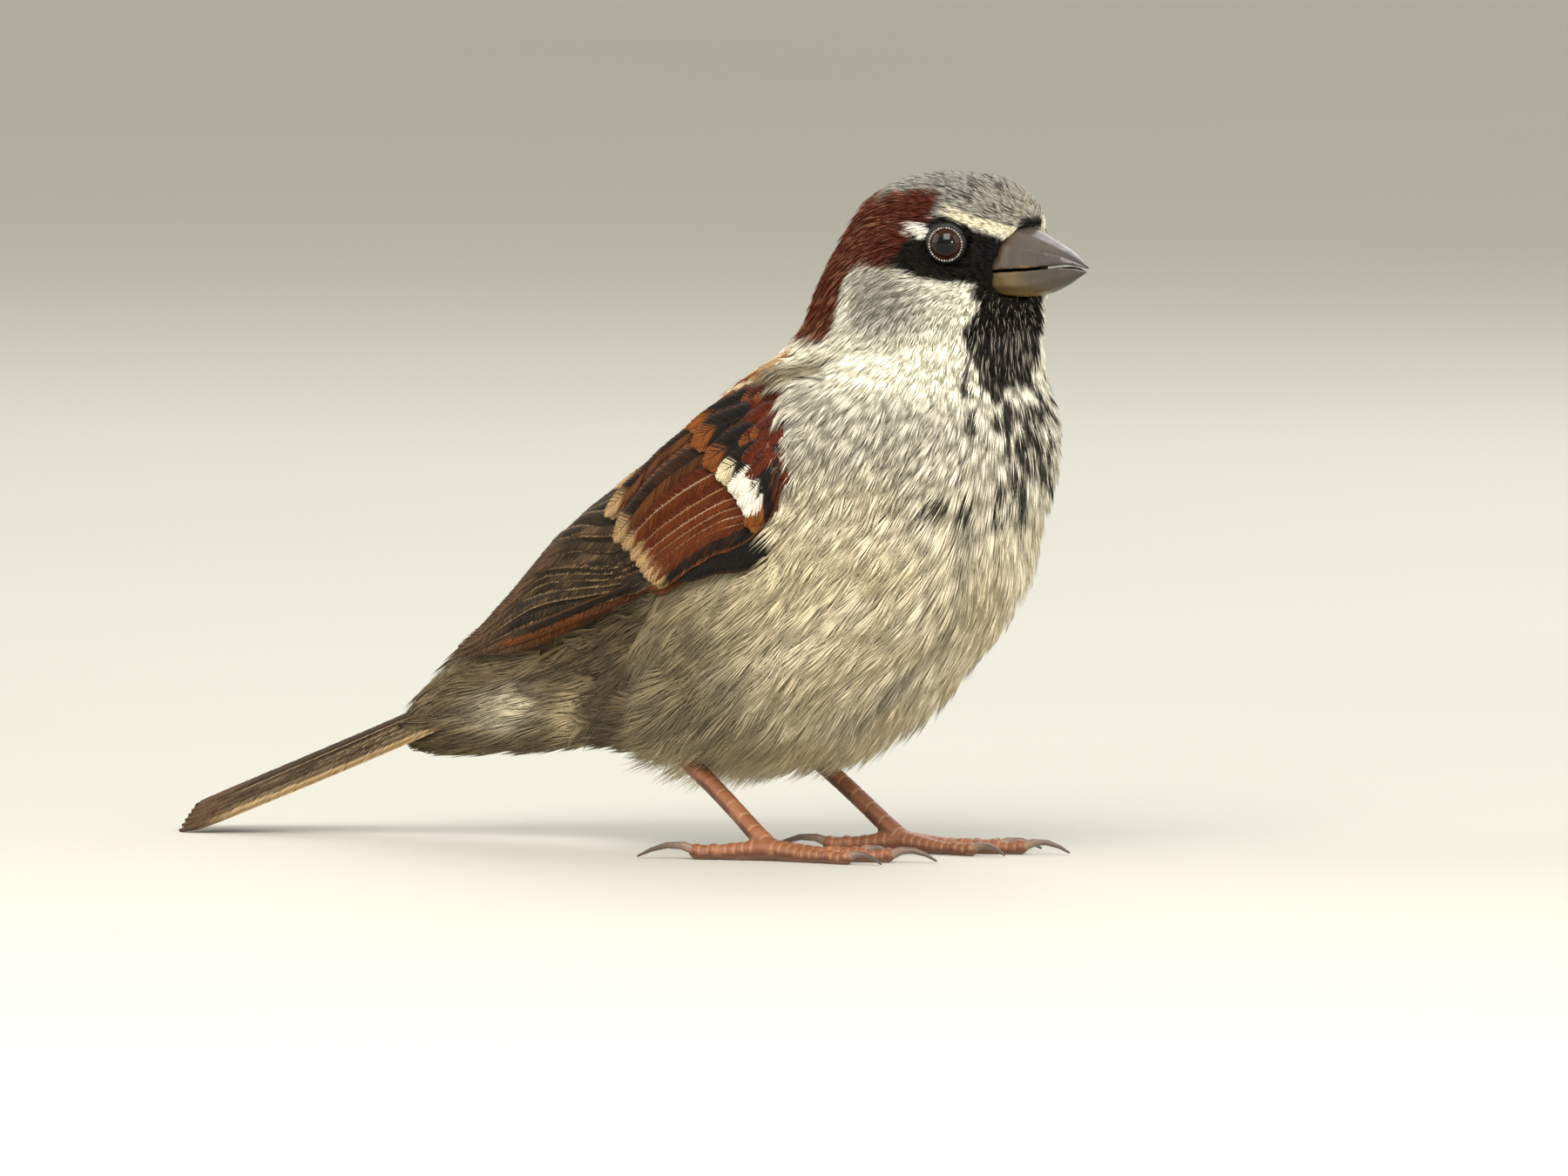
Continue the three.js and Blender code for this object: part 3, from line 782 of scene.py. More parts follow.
    @staticmethod
    def body(points: Array, across: Array, luck: Array, fine: Array) -> Array:
        """The colours below the head: collar, breast, belly, flanks, back, rump and vent, with painted
        shade along the parting and low on the rear of the belly.
        """
        x, y, z = points.T
        out = np.abs(y)
        drift = lattice(points * 0.22, 5)
        patch = lattice(points * 0.5, 7)
        base = lerp(Ink.BREAST, Ink.BREAST_GREY,
                    np.clip(ease(9, 16, out) * ease(36, 44, z) * 0.6 + (patch - 0.5) * 0.3, 0, 1))
        belly = lerp(Ink.BELLY, Ink.BUFF, np.clip(drift * 1.1 - 0.2, 0, 0.6))
        base = lerp(base, belly, ease(50, 30, z + patch * 7 - out * 0.3))
        base = lerp(base, Ink.DOWN_GREY, (fine > 0.72) * ease(37, 42, z) * 0.45)
        base = lerp(base, Ink.FLANK, ease(12, -8, x + patch * 6) * 0.9 * ease(6, 11, out + 4 * drift))
        base = lerp(base, Ink.REAR, ease(-16, -26, x + drift * 5) * 0.9)
        # Painted shade: a darker band low on the rear of the belly, in front of the vent.
        under_shade = ease(-27, -31, x) * ease(-38.5, -36, x) * ease(24, 15, z)
        base = lerp(base, Ink.UNDER_SHADE, under_shade * 0.5)
        base = lerp(base, Ink.VENT, np.clip(np.exp(-oval(x, z, VENT_PALE)) * 1.2, 0, 0.9))
        base = lerp(base, Ink.BUFF * 0.85, np.clip(np.exp(-oval(x, z, VENT_CREAM)), 0, 0.8))
        base = lerp(base, Ink.BUFF, ease(12.5, 8.5, z) * ease(-30, -20, x) * ease(14, 6, x) * 0.5)
        # Painted shade: a dark line along the parting, where the feathers of one side overlap the
        # other's.
        base = base * (1 - 0.5 * np.exp(-(near_line(points, PARTING) / 1.4) ** 2))[:, None]
        collar = ease(51, 54.5, z - (20 - x) * 0.1) * ease(6, 13, x + (drift - 0.5) * 4)
        base = lerp(base, Ink.COLLAR, collar)
        above = ease(-1.5, 1.5, z - level(BACK_EDGE, x) + (patch - 0.5) * 2)
        core = ease(0.5, 0.28, np.abs(across))
        edge = lerp(Ink.MANTLE, Ink.RUFOUS, ease(0.35, 0.8, luck))
        mantle = lerp(edge, Ink.MANTLE_BLACK, core * (luck > 0.25) * 0.95)
        nape = lerp(Ink.NAPE, Ink.DOWN_GREY, (fine > 0.7) * 0.6)
        top = lerp(mantle, nape, ease(-6.5, -2.5, x + (drift - 0.5) * 3))
        rump = lerp(Ink.RUMP, Ink.REAR, core * 0.5 + drift * 0.3)
        return lerp(base, lerp(top, rump, ease(-26, -32, x)), above)

    @staticmethod
    def skin(points: Array) -> Array:
        """The colour of the skin's down, from the middle of the feathers above it."""
        flat = np.full(len(points), 0.5)
        return Markings.at(points, flat * 0, flat, flat * 0.8)


# ---------------- skin
# The wing's edges: X, distance from the midline and height.
WING_LOWER = ((-53.4, 4.2, 18.6), (-45, 6.5, 20.6), (-34, 11, 23.6), (-15.5, 17, 28.4),
              (-4.4, 19, 32.4), (4.2, 19, 34.6), (9.5, 18, 41))
WING_UPPER = ((-53.6, 2.6, 20.4), (-47, 1.8, 26.6), (-38, 1.6, 34), (-27, 2, 41),
              (-14, 4, 50), (0, 8.5, 55), (10, 12.5, 52.5))
WING_MIDDLE = ((-52.5, 0.2, 15), (-36, 1, 24), (-16, 1.5, 33), (8, 2, 44))
# The bill: X, the top of its ridge, the bottom of its keel and its half width.
BILL_ROWS = ((25, 73.4, 64.8, 4.3), (28, 73.5, 64.8, 4.1), (30.5, 72.9, 64.9, 3.7),
             (33, 71.9, 65.2, 3), (35.5, 70.8, 66, 2.1), (37.6, 69.6, 67.2, 1.1), (39, 68.6, 67.9, 0.3))
# The coat's depth on the body at each X, and the share of it that is left at each height of the neck.
COAT_DEPTH = ((-64, 0.7), (-48, 1), (-30, 1.6), (-10, 2.1), (10, 2.3), (26, 2.1), (34, 1.9))
NECK_SHARE = ((46, 1), (56, 0.72), (64, 0.46), (80, 0.42))


def eye_front(side: int, reach: float) -> Array:
    """A place reach in front of an eye's middle, along its axis."""
    return (np.array(EYE_PLACE) + reach * unit(np.array(EYE_AXIS))) * np.array([1, side, 1])


def bill_reach(points: Array, grow: float) -> Array:
    """How far each place lies from the bill's middle line, as a share of the bill swollen by grow."""
    high, low, half = along(BILL_ROWS, points[:, 0]).T
    return np.hypot((points[:, 2] - (high + low) / 2) / ((high - low) / 2 + grow),
                    points[:, 1] / (half + grow))


@dataclass
class Skin:
    """The one skin under the feathers: the flesh of the model, drawn in by the coat's depth."""

    voxel: float = 0.6
    deepest: float = 3.0
    smoothing: int = 8
    envelope: Surface = field(init=False)
    surface: Surface = field(init=False)

    @staticmethod
    def depth(points: Array) -> Array:
        """The coat's depth over each place, in millimetres."""
        x, _, z = points.T
        deep = level(COAT_DEPTH, x) * np.where(z > 46, level(NECK_SHARE, z), 1.0)
        face = np.minimum(*(norm(points - eye_front(side, 3.2), axis=1) for side in SIDES.values()))
        bill = norm(points - np.array([31.0, 0, 69.0]), axis=1)
        return deep * (0.25 + 0.75 * ease(2.2, 5.5, face)) * (0.3 + 0.7 * ease(5, 8.5, bill))

    def build(self) -> Object:
        """Makes the skin, and reads the surfaces that the feathers lie on."""
        wings = [f"{part}_{side}" for side in SIDES for part in WING_NODES]
        eyes = [f"eye_{side}" for side in SIDES]
        whole = softened([*FLESH, *eyes, *wings], "envelope", self.voxel)
        self.envelope = Surface(whole)
        bpy.data.objects.remove(whole)
        kept = [name for name in wings if "tip" not in name]
        skin = softened([*FLESH, *eyes, *kept, "tail"], "skin", self.voxel)
        self.cut_tail(skin)
        group = skin.vertex_groups.new(name="depth")
        weights = np.clip(self.depth(straight(skin)) / self.deepest, 0, 1)
        for step in range(101):
            rows = np.where(np.round(weights * 100).astype(int) == step)[0]
            if len(rows):
                group.add(rows.tolist(), step / 100, "REPLACE")
        modify(skin, "DISPLACE", strength=-self.deepest * MM, mid_level=0.0, vertex_group="depth")
        modify(skin, "SMOOTH", iterations=self.smoothing)
        apply_modifiers(skin)
        skin.vertex_groups.clear()
        self.clear_eyes(skin)
        self.surface = Surface(skin)
        return skin

    def clear_eyes(self, skin: Object) -> None:
        """Lowers the skin round each eye and beside the bill, so that both stand clear of it."""
        points = straight(skin)
        for side in SIDES.values():
            middle = eye_front(side, 0.0)
            ahead = unit(eye_front(side, 1.0) - middle)
            high = (points - middle) @ ahead
            out = norm(points - middle - high[:, None] * ahead, axis=1)
            limit = np.sqrt(np.maximum(10.1 - out ** 2, 0.5)) - 0.35 + 1.7 * ease(2.3, 3.7, out)
            drop = np.where((out < 3.7) & (high > 0), np.minimum(limit - high, 0.0), 0.0)
            points = points + drop[:, None] * ahead
        near = ease(2, 1.3, bill_reach(points, 0)) * ease(1, 3, np.abs(points[:, 1]))
        points[:, 0] -= near * 1.1 * ease(25.5, 29, points[:, 0])
        place_vertices(skin, BIRD.out(points))

    def cut_tail(self, skin: Object) -> None:
        """Takes the tail off the skin behind its root, where it has no flesh."""
        block = primitive("block", bpy.ops.mesh.primitive_cube_add, size=1.0)
        place_vertices(block, BIRD.out(vertices_of(block) * 60.0 + np.array([-92.5, 0.0, 12.0])))
        modify(skin, "BOOLEAN", operation="DIFFERENCE", object=block)
        apply_modifiers(skin)
        bpy.data.objects.remove(block)

    def dress(self, skin: Object) -> None:
        """Gives the skin the coat's own markings, and puts it in place of the flesh."""
        tint_vertices(skin, Markings.skin(straight(skin)))
        DOWN.put_on(skin, "breast_feathers", FLESH)


# ---------------- the lie of the coat
# The line that the feathers run along, from the bill to the tail.
SPINE = ((30, 0, 69.5), (22, 0, 69.5), (15.5, 0, 67.5), (10.5, 0, 61), (7, 0, 52),
         (2, 0, 42), (-8, 0, 31.5), (-22, 0, 22.5), (-40, 0, 17), (-64, 0, 9))
# How far the loose down under the legs hangs from the skin: X and depth.
HANG = ((-34, 0), (-26, 1.2), (-20, 4), (-14, 5), (-8, 4), (0, 3), (7, 1.8), (14, 0))


class Lie:
    """Which way the feathers point, and where each root falls on the skin's unwrap."""

    SAMPLES = 240

    def __init__(self) -> None:
        """Samples the line that the feathers run along."""
        keys = np.linspace(0, len(SPINE) - 1, self.SAMPLES)
        self.line = along([(i, *place) for i, place in enumerate(SPINE)], keys)
        self.ways = unit(np.gradient(self.line, axis=0))

    def direction(self, points: Array, normals: Array) -> Array:
        """The feathers' direction at each place, in the surface.

        Args:
            points: places on the skin.
            normals: the skin's normals there.

        Returns:
            One unit row for each place.
        """
        x, y, z = points.T
        gap = ((points[:, None] - self.line) ** 2).sum(2)
        way = unit(np.exp((gap.min(1, keepdims=True) - gap) / 50.0) @ self.ways)
        way = lerp(way, np.array([-0.22, 0.0, -0.97]), ease(11, 21, x) * ease(67.5, 62, z) * 0.9)
        breast = ease(4, 16, x) * ease(60, 50, z) * ease(16, 30, z)
        way[:, 1] += np.sign(y) * 0.55 * (breast * ease(2, 9, np.abs(y)))
        return unit(way - normals * (way * normals).sum(1, keepdims=True))

    def unwrap(self, points: Array) -> Array:
        """Each place on the skin's own unwrap: round the line, and along it."""
        row = ((points[:, None] - self.line) ** 2).sum(2).argmin(1)
        arm = points - self.line[row]
        up = unit(np.cross(self.ways[row], np.array([0.0, 1.0, 0.0])))
        turn = np.arctan2(arm[:, 1], -(arm * up).sum(1))
        return np.stack([0.5 + turn / math.tau * 0.98, 0.01 + 0.98 * row / len(self.line)], 1)


def thin_out(points: Array, spacing: Array) -> Array:
    """Keeps rows that lie at least their spacing from the rows kept before them.

    Args:
        points: candidate places.
        spacing: the least gap round each.

    Returns:
        The kept rows' numbers.
    """
    cells: dict[tuple[int, int, int], list[tuple[float, float, float]]] = {}
    keys = np.floor(points / spacing.max()).astype(int).tolist()
    steps = [(i, j, k) for i in (-1, 0, 1) for j in (-1, 0, 1) for k in (-1, 0, 1)]
    kept: list[int] = []
    for number, ((i, j, k), (x, y, z), gap) in enumerate(zip(keys, points.tolist(), spacing.tolist())):
        limit = gap * gap
        near = (place for a, b, c in steps for place in cells.get((i + a, j + b, k + c), ()))
        if not any((p - x) ** 2 + (q - y) ** 2 + (r - z) ** 2 < limit for p, q, r in near):
            cells.setdefault((i, j, k), []).append((x, y, z))
            kept.append(number)
    return np.array(kept)


@dataclass(frozen=True)
class Barbs:
    """Sizes of the barbs of one kind of plume, in millimetres."""

    count: int
    width: float
    spread: float  # how far the barbs' ends fan out, as a share of the plume's half width
    shift: float  # how far back from the plume's end some barbs stop, as a share of its length
    reach: float  # length of a barb as a share of the plume


BARB_FACES = np.array([0, 1, 2, 0, 3, 4, 1, 1, 4, 5, 2, 2, 5, 3, 0, 3, 6, 4, 4, 6, 5, 5, 6, 3])
BARB_SIDES = np.array([3, 4, 4, 4, 3, 3, 3])
# Painted shade: each barb is darker at its root, where the plumes over it shade it.
BARB_ROOT_SHADE = np.array([0.86, 0.86, 0.86, 0.96, 0.96, 1.0, 1.01])  # darker at the root of each barb
STATIONS = (0.0, 0.55, 1.0)  # shares of a barb's length where its places are worked out


def barb_piece(name: str, centres: Sequence[Array], above: Array, width: Array,
               hues: Sequence[Array], places: Sequence[Array], slide: float) -> Object:
    """One joined piece of closed barbs, each three-sided and tapering to its end.

    Args:
        name: the piece's name.
        centres: places at the root, the middle and the end of each barb.
        above: the way each barb's keel points.
        width: each barb's width in millimetres.
        hues: linear colours at the same three stations.
        places: bake map places at those stations.
        slide: how far apart a barb's edges lie on the bake map.

    Returns:
        The object.
    """
    total = len(above)
    ahead = unit(centres[2] - centres[0])
    right = unit(np.cross(ahead, above))
    above = unit(np.cross(right, ahead))
    points, bake = np.zeros((total, 7, 3)), np.zeros((total, 7, 2))
    for row, share in enumerate((0.45, 0.5)):
        half = np.broadcast_to(width * share, total)[:, None]
        for corner, (arm, step) in enumerate(((-right, -slide), (right, slide), (above * 1.1, 0.0))):
            points[:, row * 3 + corner] = centres[row] + arm * half
            bake[:, row * 3 + corner] = places[row] + np.array([step, 0.0])
    points[:, 6], bake[:, 6] = centres[2], places[2]
    colours = np.stack([hues[0]] * 3 + [hues[1]] * 3 + [hues[2]], 1) * BARB_ROOT_SHADE[:, None]
    faces = (BARB_FACES + 7 * np.arange(total)[:, None]).ravel()
    return make_mesh(name, points.reshape(-1, 3), faces, np.tile(BARB_SIDES, total),
                     colours.reshape(-1, 3), bake.reshape(-1, 2))


@dataclass
class Plumage:
    """A tract of plumes, each a fan of closed, tapering barbs that rise from the skin.

    Args:
        name: the piece's name.
        barbs: the barbs of its plumes.
        finish: its finish.
        spacing, length, width: sizes of a plume at a place, in millimetres.
        belongs: whether a place on the skin is in this tract.
        slot: the record's material slot.
        contrast: how far the barbs' colours differ, and how dark the barbs painted as shadow lines are.
        candidates: how many places are tried.
    """

    name: str
    barbs: Barbs
    finish: Finish
    spacing: Callable[[Array], Array]
    length: Callable[[Array], Array]
    width: Callable[[Array], Array]
    belongs: Callable[[Array], Array]
    slot: str
    contrast: float = 0.22
    candidates: int = 140000

    def roots(self, skin: Skin, rng: Random) -> Pair:
        """Where the plumes grow, and the skin's normals there."""
        places, normals = skin.surface.scatter(self.candidates, rng)
        inside = self.belongs(places)
        places, normals = places[inside], normals[inside]
        kept = thin_out(places, self.spacing(places) * (0.92 + 0.16 * rng.random(len(places))))
        return places[kept], normals[kept]

    def build(self, skin: Skin, lie: Lie, rng: Random) -> None:
        """Grows the tract in pieces, each small enough to keep its mesh whole.

        Args:
            skin: what it grows on.
            lie: which way it lies.
            rng: the seeded generator.
        """
        roots, normals = self.roots(skin, rng)
        count = len(roots)
        ways = lie.direction(roots, normals)
        turn = (rng.random(count) - 0.5) * 0.32
        ways = unit(ways + np.cross(ways, normals) * turn[:, None])
        sides = unit(np.cross(ways, normals))
        length = self.length(roots) * (0.88 + 0.24 * rng.random(count))
        length = clear_of_the_eyes(roots, ways, length)
        width = self.width(roots) * (0.88 + 0.24 * rng.random(count))
        inset = wing_inset(roots)
        depth = Skin.depth(roots) * (1 - 0.72 * ease(-0.6, 1.4, inset))
        us, vs = np.linspace(0, 1, 4), np.array([-1.0, 0.0, 1.0])
        grid = (roots[:, None, None] + ways[:, None, None] * (length[:, None] * us)[:, :, None, None]
                + sides[:, None, None] * (width[:, None] / 2 * vs)[:, None, :, None])
        ground, up = skin.surface.nearest(grid)
        rise = depth[:, None] * (0.06 + 0.98 * us ** 0.85)
        lift = (rise[:, :, None] * (1 - 0.16 * vs ** 2)
                + (rng.random(count) * 0.09)[:, None, None] * us[:, None])
        before = (inset < 0.3) & (roots[:, 0] > 3.0)
        covering = ease(-1.6, 1.2, wing_inset(grid.reshape(-1, 3)).reshape(lift.shape))
        lift = lift + before[:, None, None] * covering * 1.45
        below = ease(-0.1, -0.6, normals[:, 2]) * level(HANG, roots[:, 0] - 5.0)
        lift = lift + (below[:, None] * us ** 1.1)[:, :, None]
        grid = ground + up * lift[..., None]
        luck = rng.random(count)
        patches = lie.unwrap(roots)
        order = np.argsort(roots[:, 0] * 0.01 + roots[:, 2] * 0.02)
        most = MOST_FACES // (10 * self.barbs.count)
        for number, start in enumerate(range(0, count, most)):
            rows = order[start:start + most]
            self.piece(f"{self.name}_{number + 1}", grid[rows], up[rows], luck[rows], patches[rows], rng)
        log.info("%s: %d plumes", self.name, count)

    def piece(self, name: str, grid: Array, up: Array, luck: Array, patches: Array, rng: Random) -> None:
        """One piece of the tract, all its barbs joined.

        Args:
            name: the piece's name.
            grid: places over each plume, along and across it.
            up: normals at those places.
            luck: one random number for each plume.
            patches: where each plume lies on the bake map.
            rng: the seeded generator.
        """
        shape = len(grid), self.barbs.count
        total = shape[0] * shape[1]
        across = np.linspace(-1, 1, shape[1]) + (rng.random(shape) - 0.5) * (1.6 / shape[1])
        across = np.clip(across, -1, 1)
        back = self.barbs.shift * rng.random(shape) ** 1.3
        end = 1 - 0.36 * across ** 2 - back
        begin = np.maximum(end - self.barbs.reach * (0.85 + 0.3 * rng.random(shape)), 0.0)
        stations = [(begin + (end - begin) * share,
                     across * (0.42 + (self.barbs.spread - 0.42) * share ** 0.8)) for share in STATIONS]
        fine = rng.random(shape).ravel()
        lifts = (rng.random(shape) - 0.35) * 0.1 - back * 0.25
        centres, ups = zip(*(self.read(grid, up, u, v) for u, v in stations))
        centres = [(place + normal * (lifts * share)[..., None]).reshape(-1, 3)
                   for place, normal, share in zip(centres, ups, (0.4, 1.0, 1.1))]
        above = ups[1].reshape(-1, 3)
        aside = np.cross(unit(centres[2] - centres[0]), above)
        above = above + aside * ((rng.random(total) - 0.5) * 0.9)[:, None]
        luck = np.repeat(luck, shape[1])
        glow = 1.0 + self.contrast * (rng.random(total) - 0.5) + 0.1 * (luck - 0.5)
        # Painted shade: about one barb in seven is darkened, as a shadow line between barbs.
        glow = np.where(rng.random(total) > 0.86, glow * (1 - 0.9 * self.contrast), glow)
        bake = [(patches[:, None] + TUFT_PATCH * np.stack([v * 0.42, u - 0.5], -1)).reshape(-1, 2)
                for u, v in stations]
        width = self.barbs.width * (0.8 + 0.4 * rng.random(total))
        root, shown = (Markings.at(where, across.ravel(), luck, fine) * glow[:, None]
                       for where in (centres[0], centres[1] * 0.35 + centres[2] * 0.65))
        made = barb_piece(name, centres, above, width, (root, shown, shown), bake, 0.06 * TUFT_PATCH)
        self.finish.put_on(made, self.slot)

    @staticmethod
    def read(grid: Array, up: Array, u: Array, v: Array) -> Pair:
        """Places and normals on each plume's grid, at u along it and v across it."""
        i = np.clip((u * 3).astype(int), 0, 2)
        j = np.clip((v + 1).astype(int), 0, 1)
        where = (np.arange(len(grid))[:, None], i, j), (u * 3 - i)[..., None], (v + 1 - j)[..., None]
        return grid_read(grid, *where), unit(grid_read(up, *where))


def wing_inset(points: Array) -> Array:
    """How far each place on the skin lies inside the rim of the wing that covers it."""
    x, y, z = points.T
    low = along(WING_LOWER, x)
    chord = along(WING_UPPER, x) - low
    size = np.maximum(norm(chord, axis=1), 1e-6)
    arm = np.stack([np.abs(y), z], 1) - low
    share = (arm * chord).sum(1) / size
    outward = (chord[:, 1] * arm[:, 0] - chord[:, 0] * arm[:, 1]) / size
    inside = np.minimum(np.minimum(share, size - share), np.minimum(8.5 - x, x + 50))
    return np.where(outward > -4.5, inside, -9.0)


def clear_of_the_eyes(roots: Array, ways: Array, length: Array, rim: float = 2.2) -> Array:
    """Lengths cut so that no plume reaches over the rim of an eye."""
    for side in SIDES.values():
        arm = eye_front(side, 2.6) - roots
        ahead = (arm * ways).sum(1)
        aside = np.sqrt(np.maximum((arm ** 2).sum(1) - ahead ** 2, 0))
        entry = ahead - np.sqrt(np.maximum(rim ** 2 - aside ** 2, 0))
        meets = (aside < rim) & (ahead > 0)
        length = np.where(meets, np.minimum(length, np.maximum(entry, 0.55)), length)
    return length


def by_the_eye(points: Array, reach: float) -> Array:
    """Whether each place is within reach of the front of an eye."""
    return np.any([norm(points - eye_front(side, 3.1), axis=1) < reach
                   for side in SIDES.values()], axis=0)


def in_the_bill(points: Array, grow: float) -> Array:
    """Whether each place falls inside the bill's root, swollen by grow."""
    return (points[:, 0] > 26.5) & (bill_reach(points, grow) < 1)


def on_the_head(points: Array) -> Array:
    """Whether each place is on the head or the throat."""
    return points[:, 2] - (points[:, 0] - 12) * 0.25 > 58.0


def head_size(points: Array, smallest: float, largest: float) -> Array:
    """A size that grows from the face, near the bill, back to the nape."""
    from_bill = norm(points - np.array([30.0, 0, 69.5]), axis=1)
    return smallest + (largest - smallest) * ease(3, 19, from_bill)


def body_size(points: Array, neck: float, breast: float, belly: float, rear: float) -> Array:
    """A size that changes down the body."""
    x, _, z = points.T
    front = level(((30, belly), (42, breast), (56, neck)), z)
    return (front + (rear - front) * ease(-14, -34, x)) * (1 + 0.3 * ease(-42, -47, x))


# ---------------- closed vanes
@dataclass(frozen=True)
class Vane:
    """One closed feather of the wing or tail: a thin, cambered blade with two faces.

    Args:
        spine: places down its shaft, as rows.
        up: the outward normal at each.
        aside: the way to its own outer web at each, at length one.
        inner, outer: half widths of its two webs in millimetres.
        tip: share of its length over which its end rounds off.
        camber: how far its edges fall below the shaft.
        thickness: of the blade along its shaft.
        ragged: how uneven its edges are.
    """

    spine: Array
    up: Array
    aside: Array
    inner: float
    outer: float
    tip: float = 0.2
    camber: float = 0.3
    thickness: float = 0.16
    ragged: float = 0.0

    def reach(self, u: Array, v: Array) -> Array:
        """How far each place lies from the shaft, in millimetres."""
        past = np.clip(u - (1 - self.tip), 0, None) / self.tip
        round_off = np.sqrt(np.clip(1 - past ** 2, 0, 1))
        root = 0.35 + 0.65 * ease(0, 0.3, u)
        return root * round_off * np.where(v < 0, self.inner, self.outer) * v

    def surface(self, u: Array, v: Array, lift: Array | float) -> Pair:
        """Places on the upper face, raised by lift, and the normals there."""
        keys = np.linspace(0, 1, len(self.spine))
        spine, up, aside = (np.stack([np.interp(u, keys, table[:, i]) for i in range(3)], -1)
                            for table in (self.spine, self.up, self.aside))
        fall = lift - self.camber * v ** 2 * (0.4 + 0.6 * ease(0, 0.4, u))
        return spine + aside * self.reach(u, v)[..., None] + up * fall[..., None], up

    def mesh(self, colour: Paint, columns: int, seed: int) -> tuple[Array, Array, Array, Array, Array]:
        """Builds the blade.

        Args:
            colour: its colour.
            columns: places across, an odd number.
            seed: for its ragged edge.

        Returns:
            Points, rows of face corners, colours, own map places and bake map places.
        """
        rows = len(self.spine)
        u, v = np.linspace(0, 1, rows), np.linspace(-1, 1, columns)
        edge = lattice(np.stack([u * 24, np.full(rows, seed * 7.1), np.zeros(rows)], 1), seed) - 0.5
        top, up = self.surface(u[:, None] + 0 * v, v * (0.97 + self.ragged * edge[:, None]), 0.0)
        rib = np.exp(-(v / 0.12) ** 2) * 0.07 * (1 - 0.7 * u)[:, None]
        thick = self.thickness * np.sqrt(np.clip(1 - v ** 2, 0.08, 1)) * (1 - 0.4 * u)[:, None]
        points = np.stack([top + up * rib[..., None], top - up * thick[..., None]]).reshape(-1, 3)
        across, down = np.tile(v, rows), np.repeat(u, columns)
        hue = colour(down, across)
        number = np.arange(rows * columns).reshape(rows, columns)
        half = rows * columns
        quad = np.stack([number[:-1, :-1], number[:-1, 1:], number[1:, 1:], number[1:, :-1]], -1)
        faces = [quad.reshape(-1, 4), quad.reshape(-1, 4)[:, ::-1] + half]
        for rim, turn in ((number[:, 0], 1), (number[:, -1], -1), (number[0], -1), (number[-1], 1)):
            p, q = rim[:-1], rim[1:]
            faces.append(np.stack([p, q, q + half, p + half], 1)[:, ::turn])
        own = np.stack([across * 0.5 + 0.5, down], 1)
        bake = own * [0.44, 0.94] + [0.02, 0.03]
        # Painted shade: the lower face takes 0.8 of the upper face's colour.
        return (points, np.concatenate(faces), np.concatenate([hue, hue * 0.8]),
                np.concatenate([own, own]), np.concatenate([bake, bake + [0.5, 0.0]]))


@dataclass
class VaneBatch:
    """Vanes gathered into one joined piece, with a tile each on its bake map.

    Args:
        name: the piece's name.
        slot: the record's material slot.
        nodes: the CAD nodes that it stands for.
        tiles: tiles along each side of its bake map.
        pitch: from one free barb to the next, in millimetres.
        vanes: each vane with its colour and its places across.
    """

    name: str
    slot: str
    nodes: Sequence[str]
    tiles: int
    pitch: float = 0.24
    vanes: list[tuple[Vane, Paint, int]] = field(default_factory=list)

    def add(self, vane: Vane, colour: Paint, columns: int = 9) -> None:
        """Adds a vane."""
        self.vanes.append((vane, colour, columns))

    def tiled(self, number: int, places: Array) -> Array:
        """Places on a vane's own tile, as places on the bake map."""
        return (np.array([number % self.tiles, number // self.tiles]) + places) / self.tiles

    def build(self) -> None:
        """Joins the vanes and dresses the piece."""
        parts, start = [], 0
        for number, (vane, colour, columns) in enumerate(self.vanes):
            points, corners, hues, own, bake = vane.mesh(colour, columns, number + 3)
            parts.append((points, corners + start, hues, self.tiled(number, bake), own))
            start += len(points)
        points, corners, *layers = (np.concatenate(rows) for rows in zip(*parts))
        made = make_mesh(self.name, points, corners.ravel(), np.full(len(corners), 4), *layers)
        VANES.put_on(made, self.slot, self.nodes)

    def barbs(self, rng: Random) -> None:
        """Lays free barbs over every vane, which fray its edges.

        Args:
            rng: the seeded generator.
        """
        stations: tuple[list[Array], ...] = ([], [], [])
        bakes: tuple[list[Array], ...] = ([], [], [])
        above, hues = [], []
        for number, (vane, colour, _) in enumerate(self.vanes):
            length = norm(np.diff(vane.spine, axis=0), axis=1).sum()
            count = int(length / self.pitch)
            for side, web in ((-1.0, vane.inner), (1.0, vane.outer)):
                begin = np.linspace(0.04, 0.97, count) + (rng.random(count) - 0.5) * 1.2 / count
                advance = 1.35 * web / length * (0.9 + 0.2 * rng.random(count))
                stop = 0.99 + 0.07 * rng.random(count)
                lift = 0.02 + 0.05 * rng.random(count)
                for row, share in enumerate(STATIONS):
                    u = np.clip(begin + advance * share ** 1.2, 0, 0.993)
                    v = side * (0.04 + (stop - 0.04) * share)
                    place, up = vane.surface(u, v, lift * (0.6 + share))
                    stations[row].append(place)
                    bakes[row].append(self.tiled(number, np.stack([v * 0.45 + 0.5, u * 0.94 + 0.03], 1)))
                    if row == 1:
                        above.append(up + vane.aside.mean(0) * (rng.random(count) - 0.5)[:, None] * 0.5)
                        glow = 0.82 + 0.4 * rng.random(count)
                        hues.append(colour(np.clip(u + advance * 0.2, 0, 1), v * 1.15) * glow[:, None])
        made = barb_piece(f"{self.name}_barbs", [np.concatenate(rows) for rows in stations],
                          np.concatenate(above), np.array(self.pitch * 0.8), [np.concatenate(hues)] * 3,
                          [np.concatenate(rows) for rows in bakes], 0.02 / self.tiles)
        BARBS.put_on(made, self.slot)


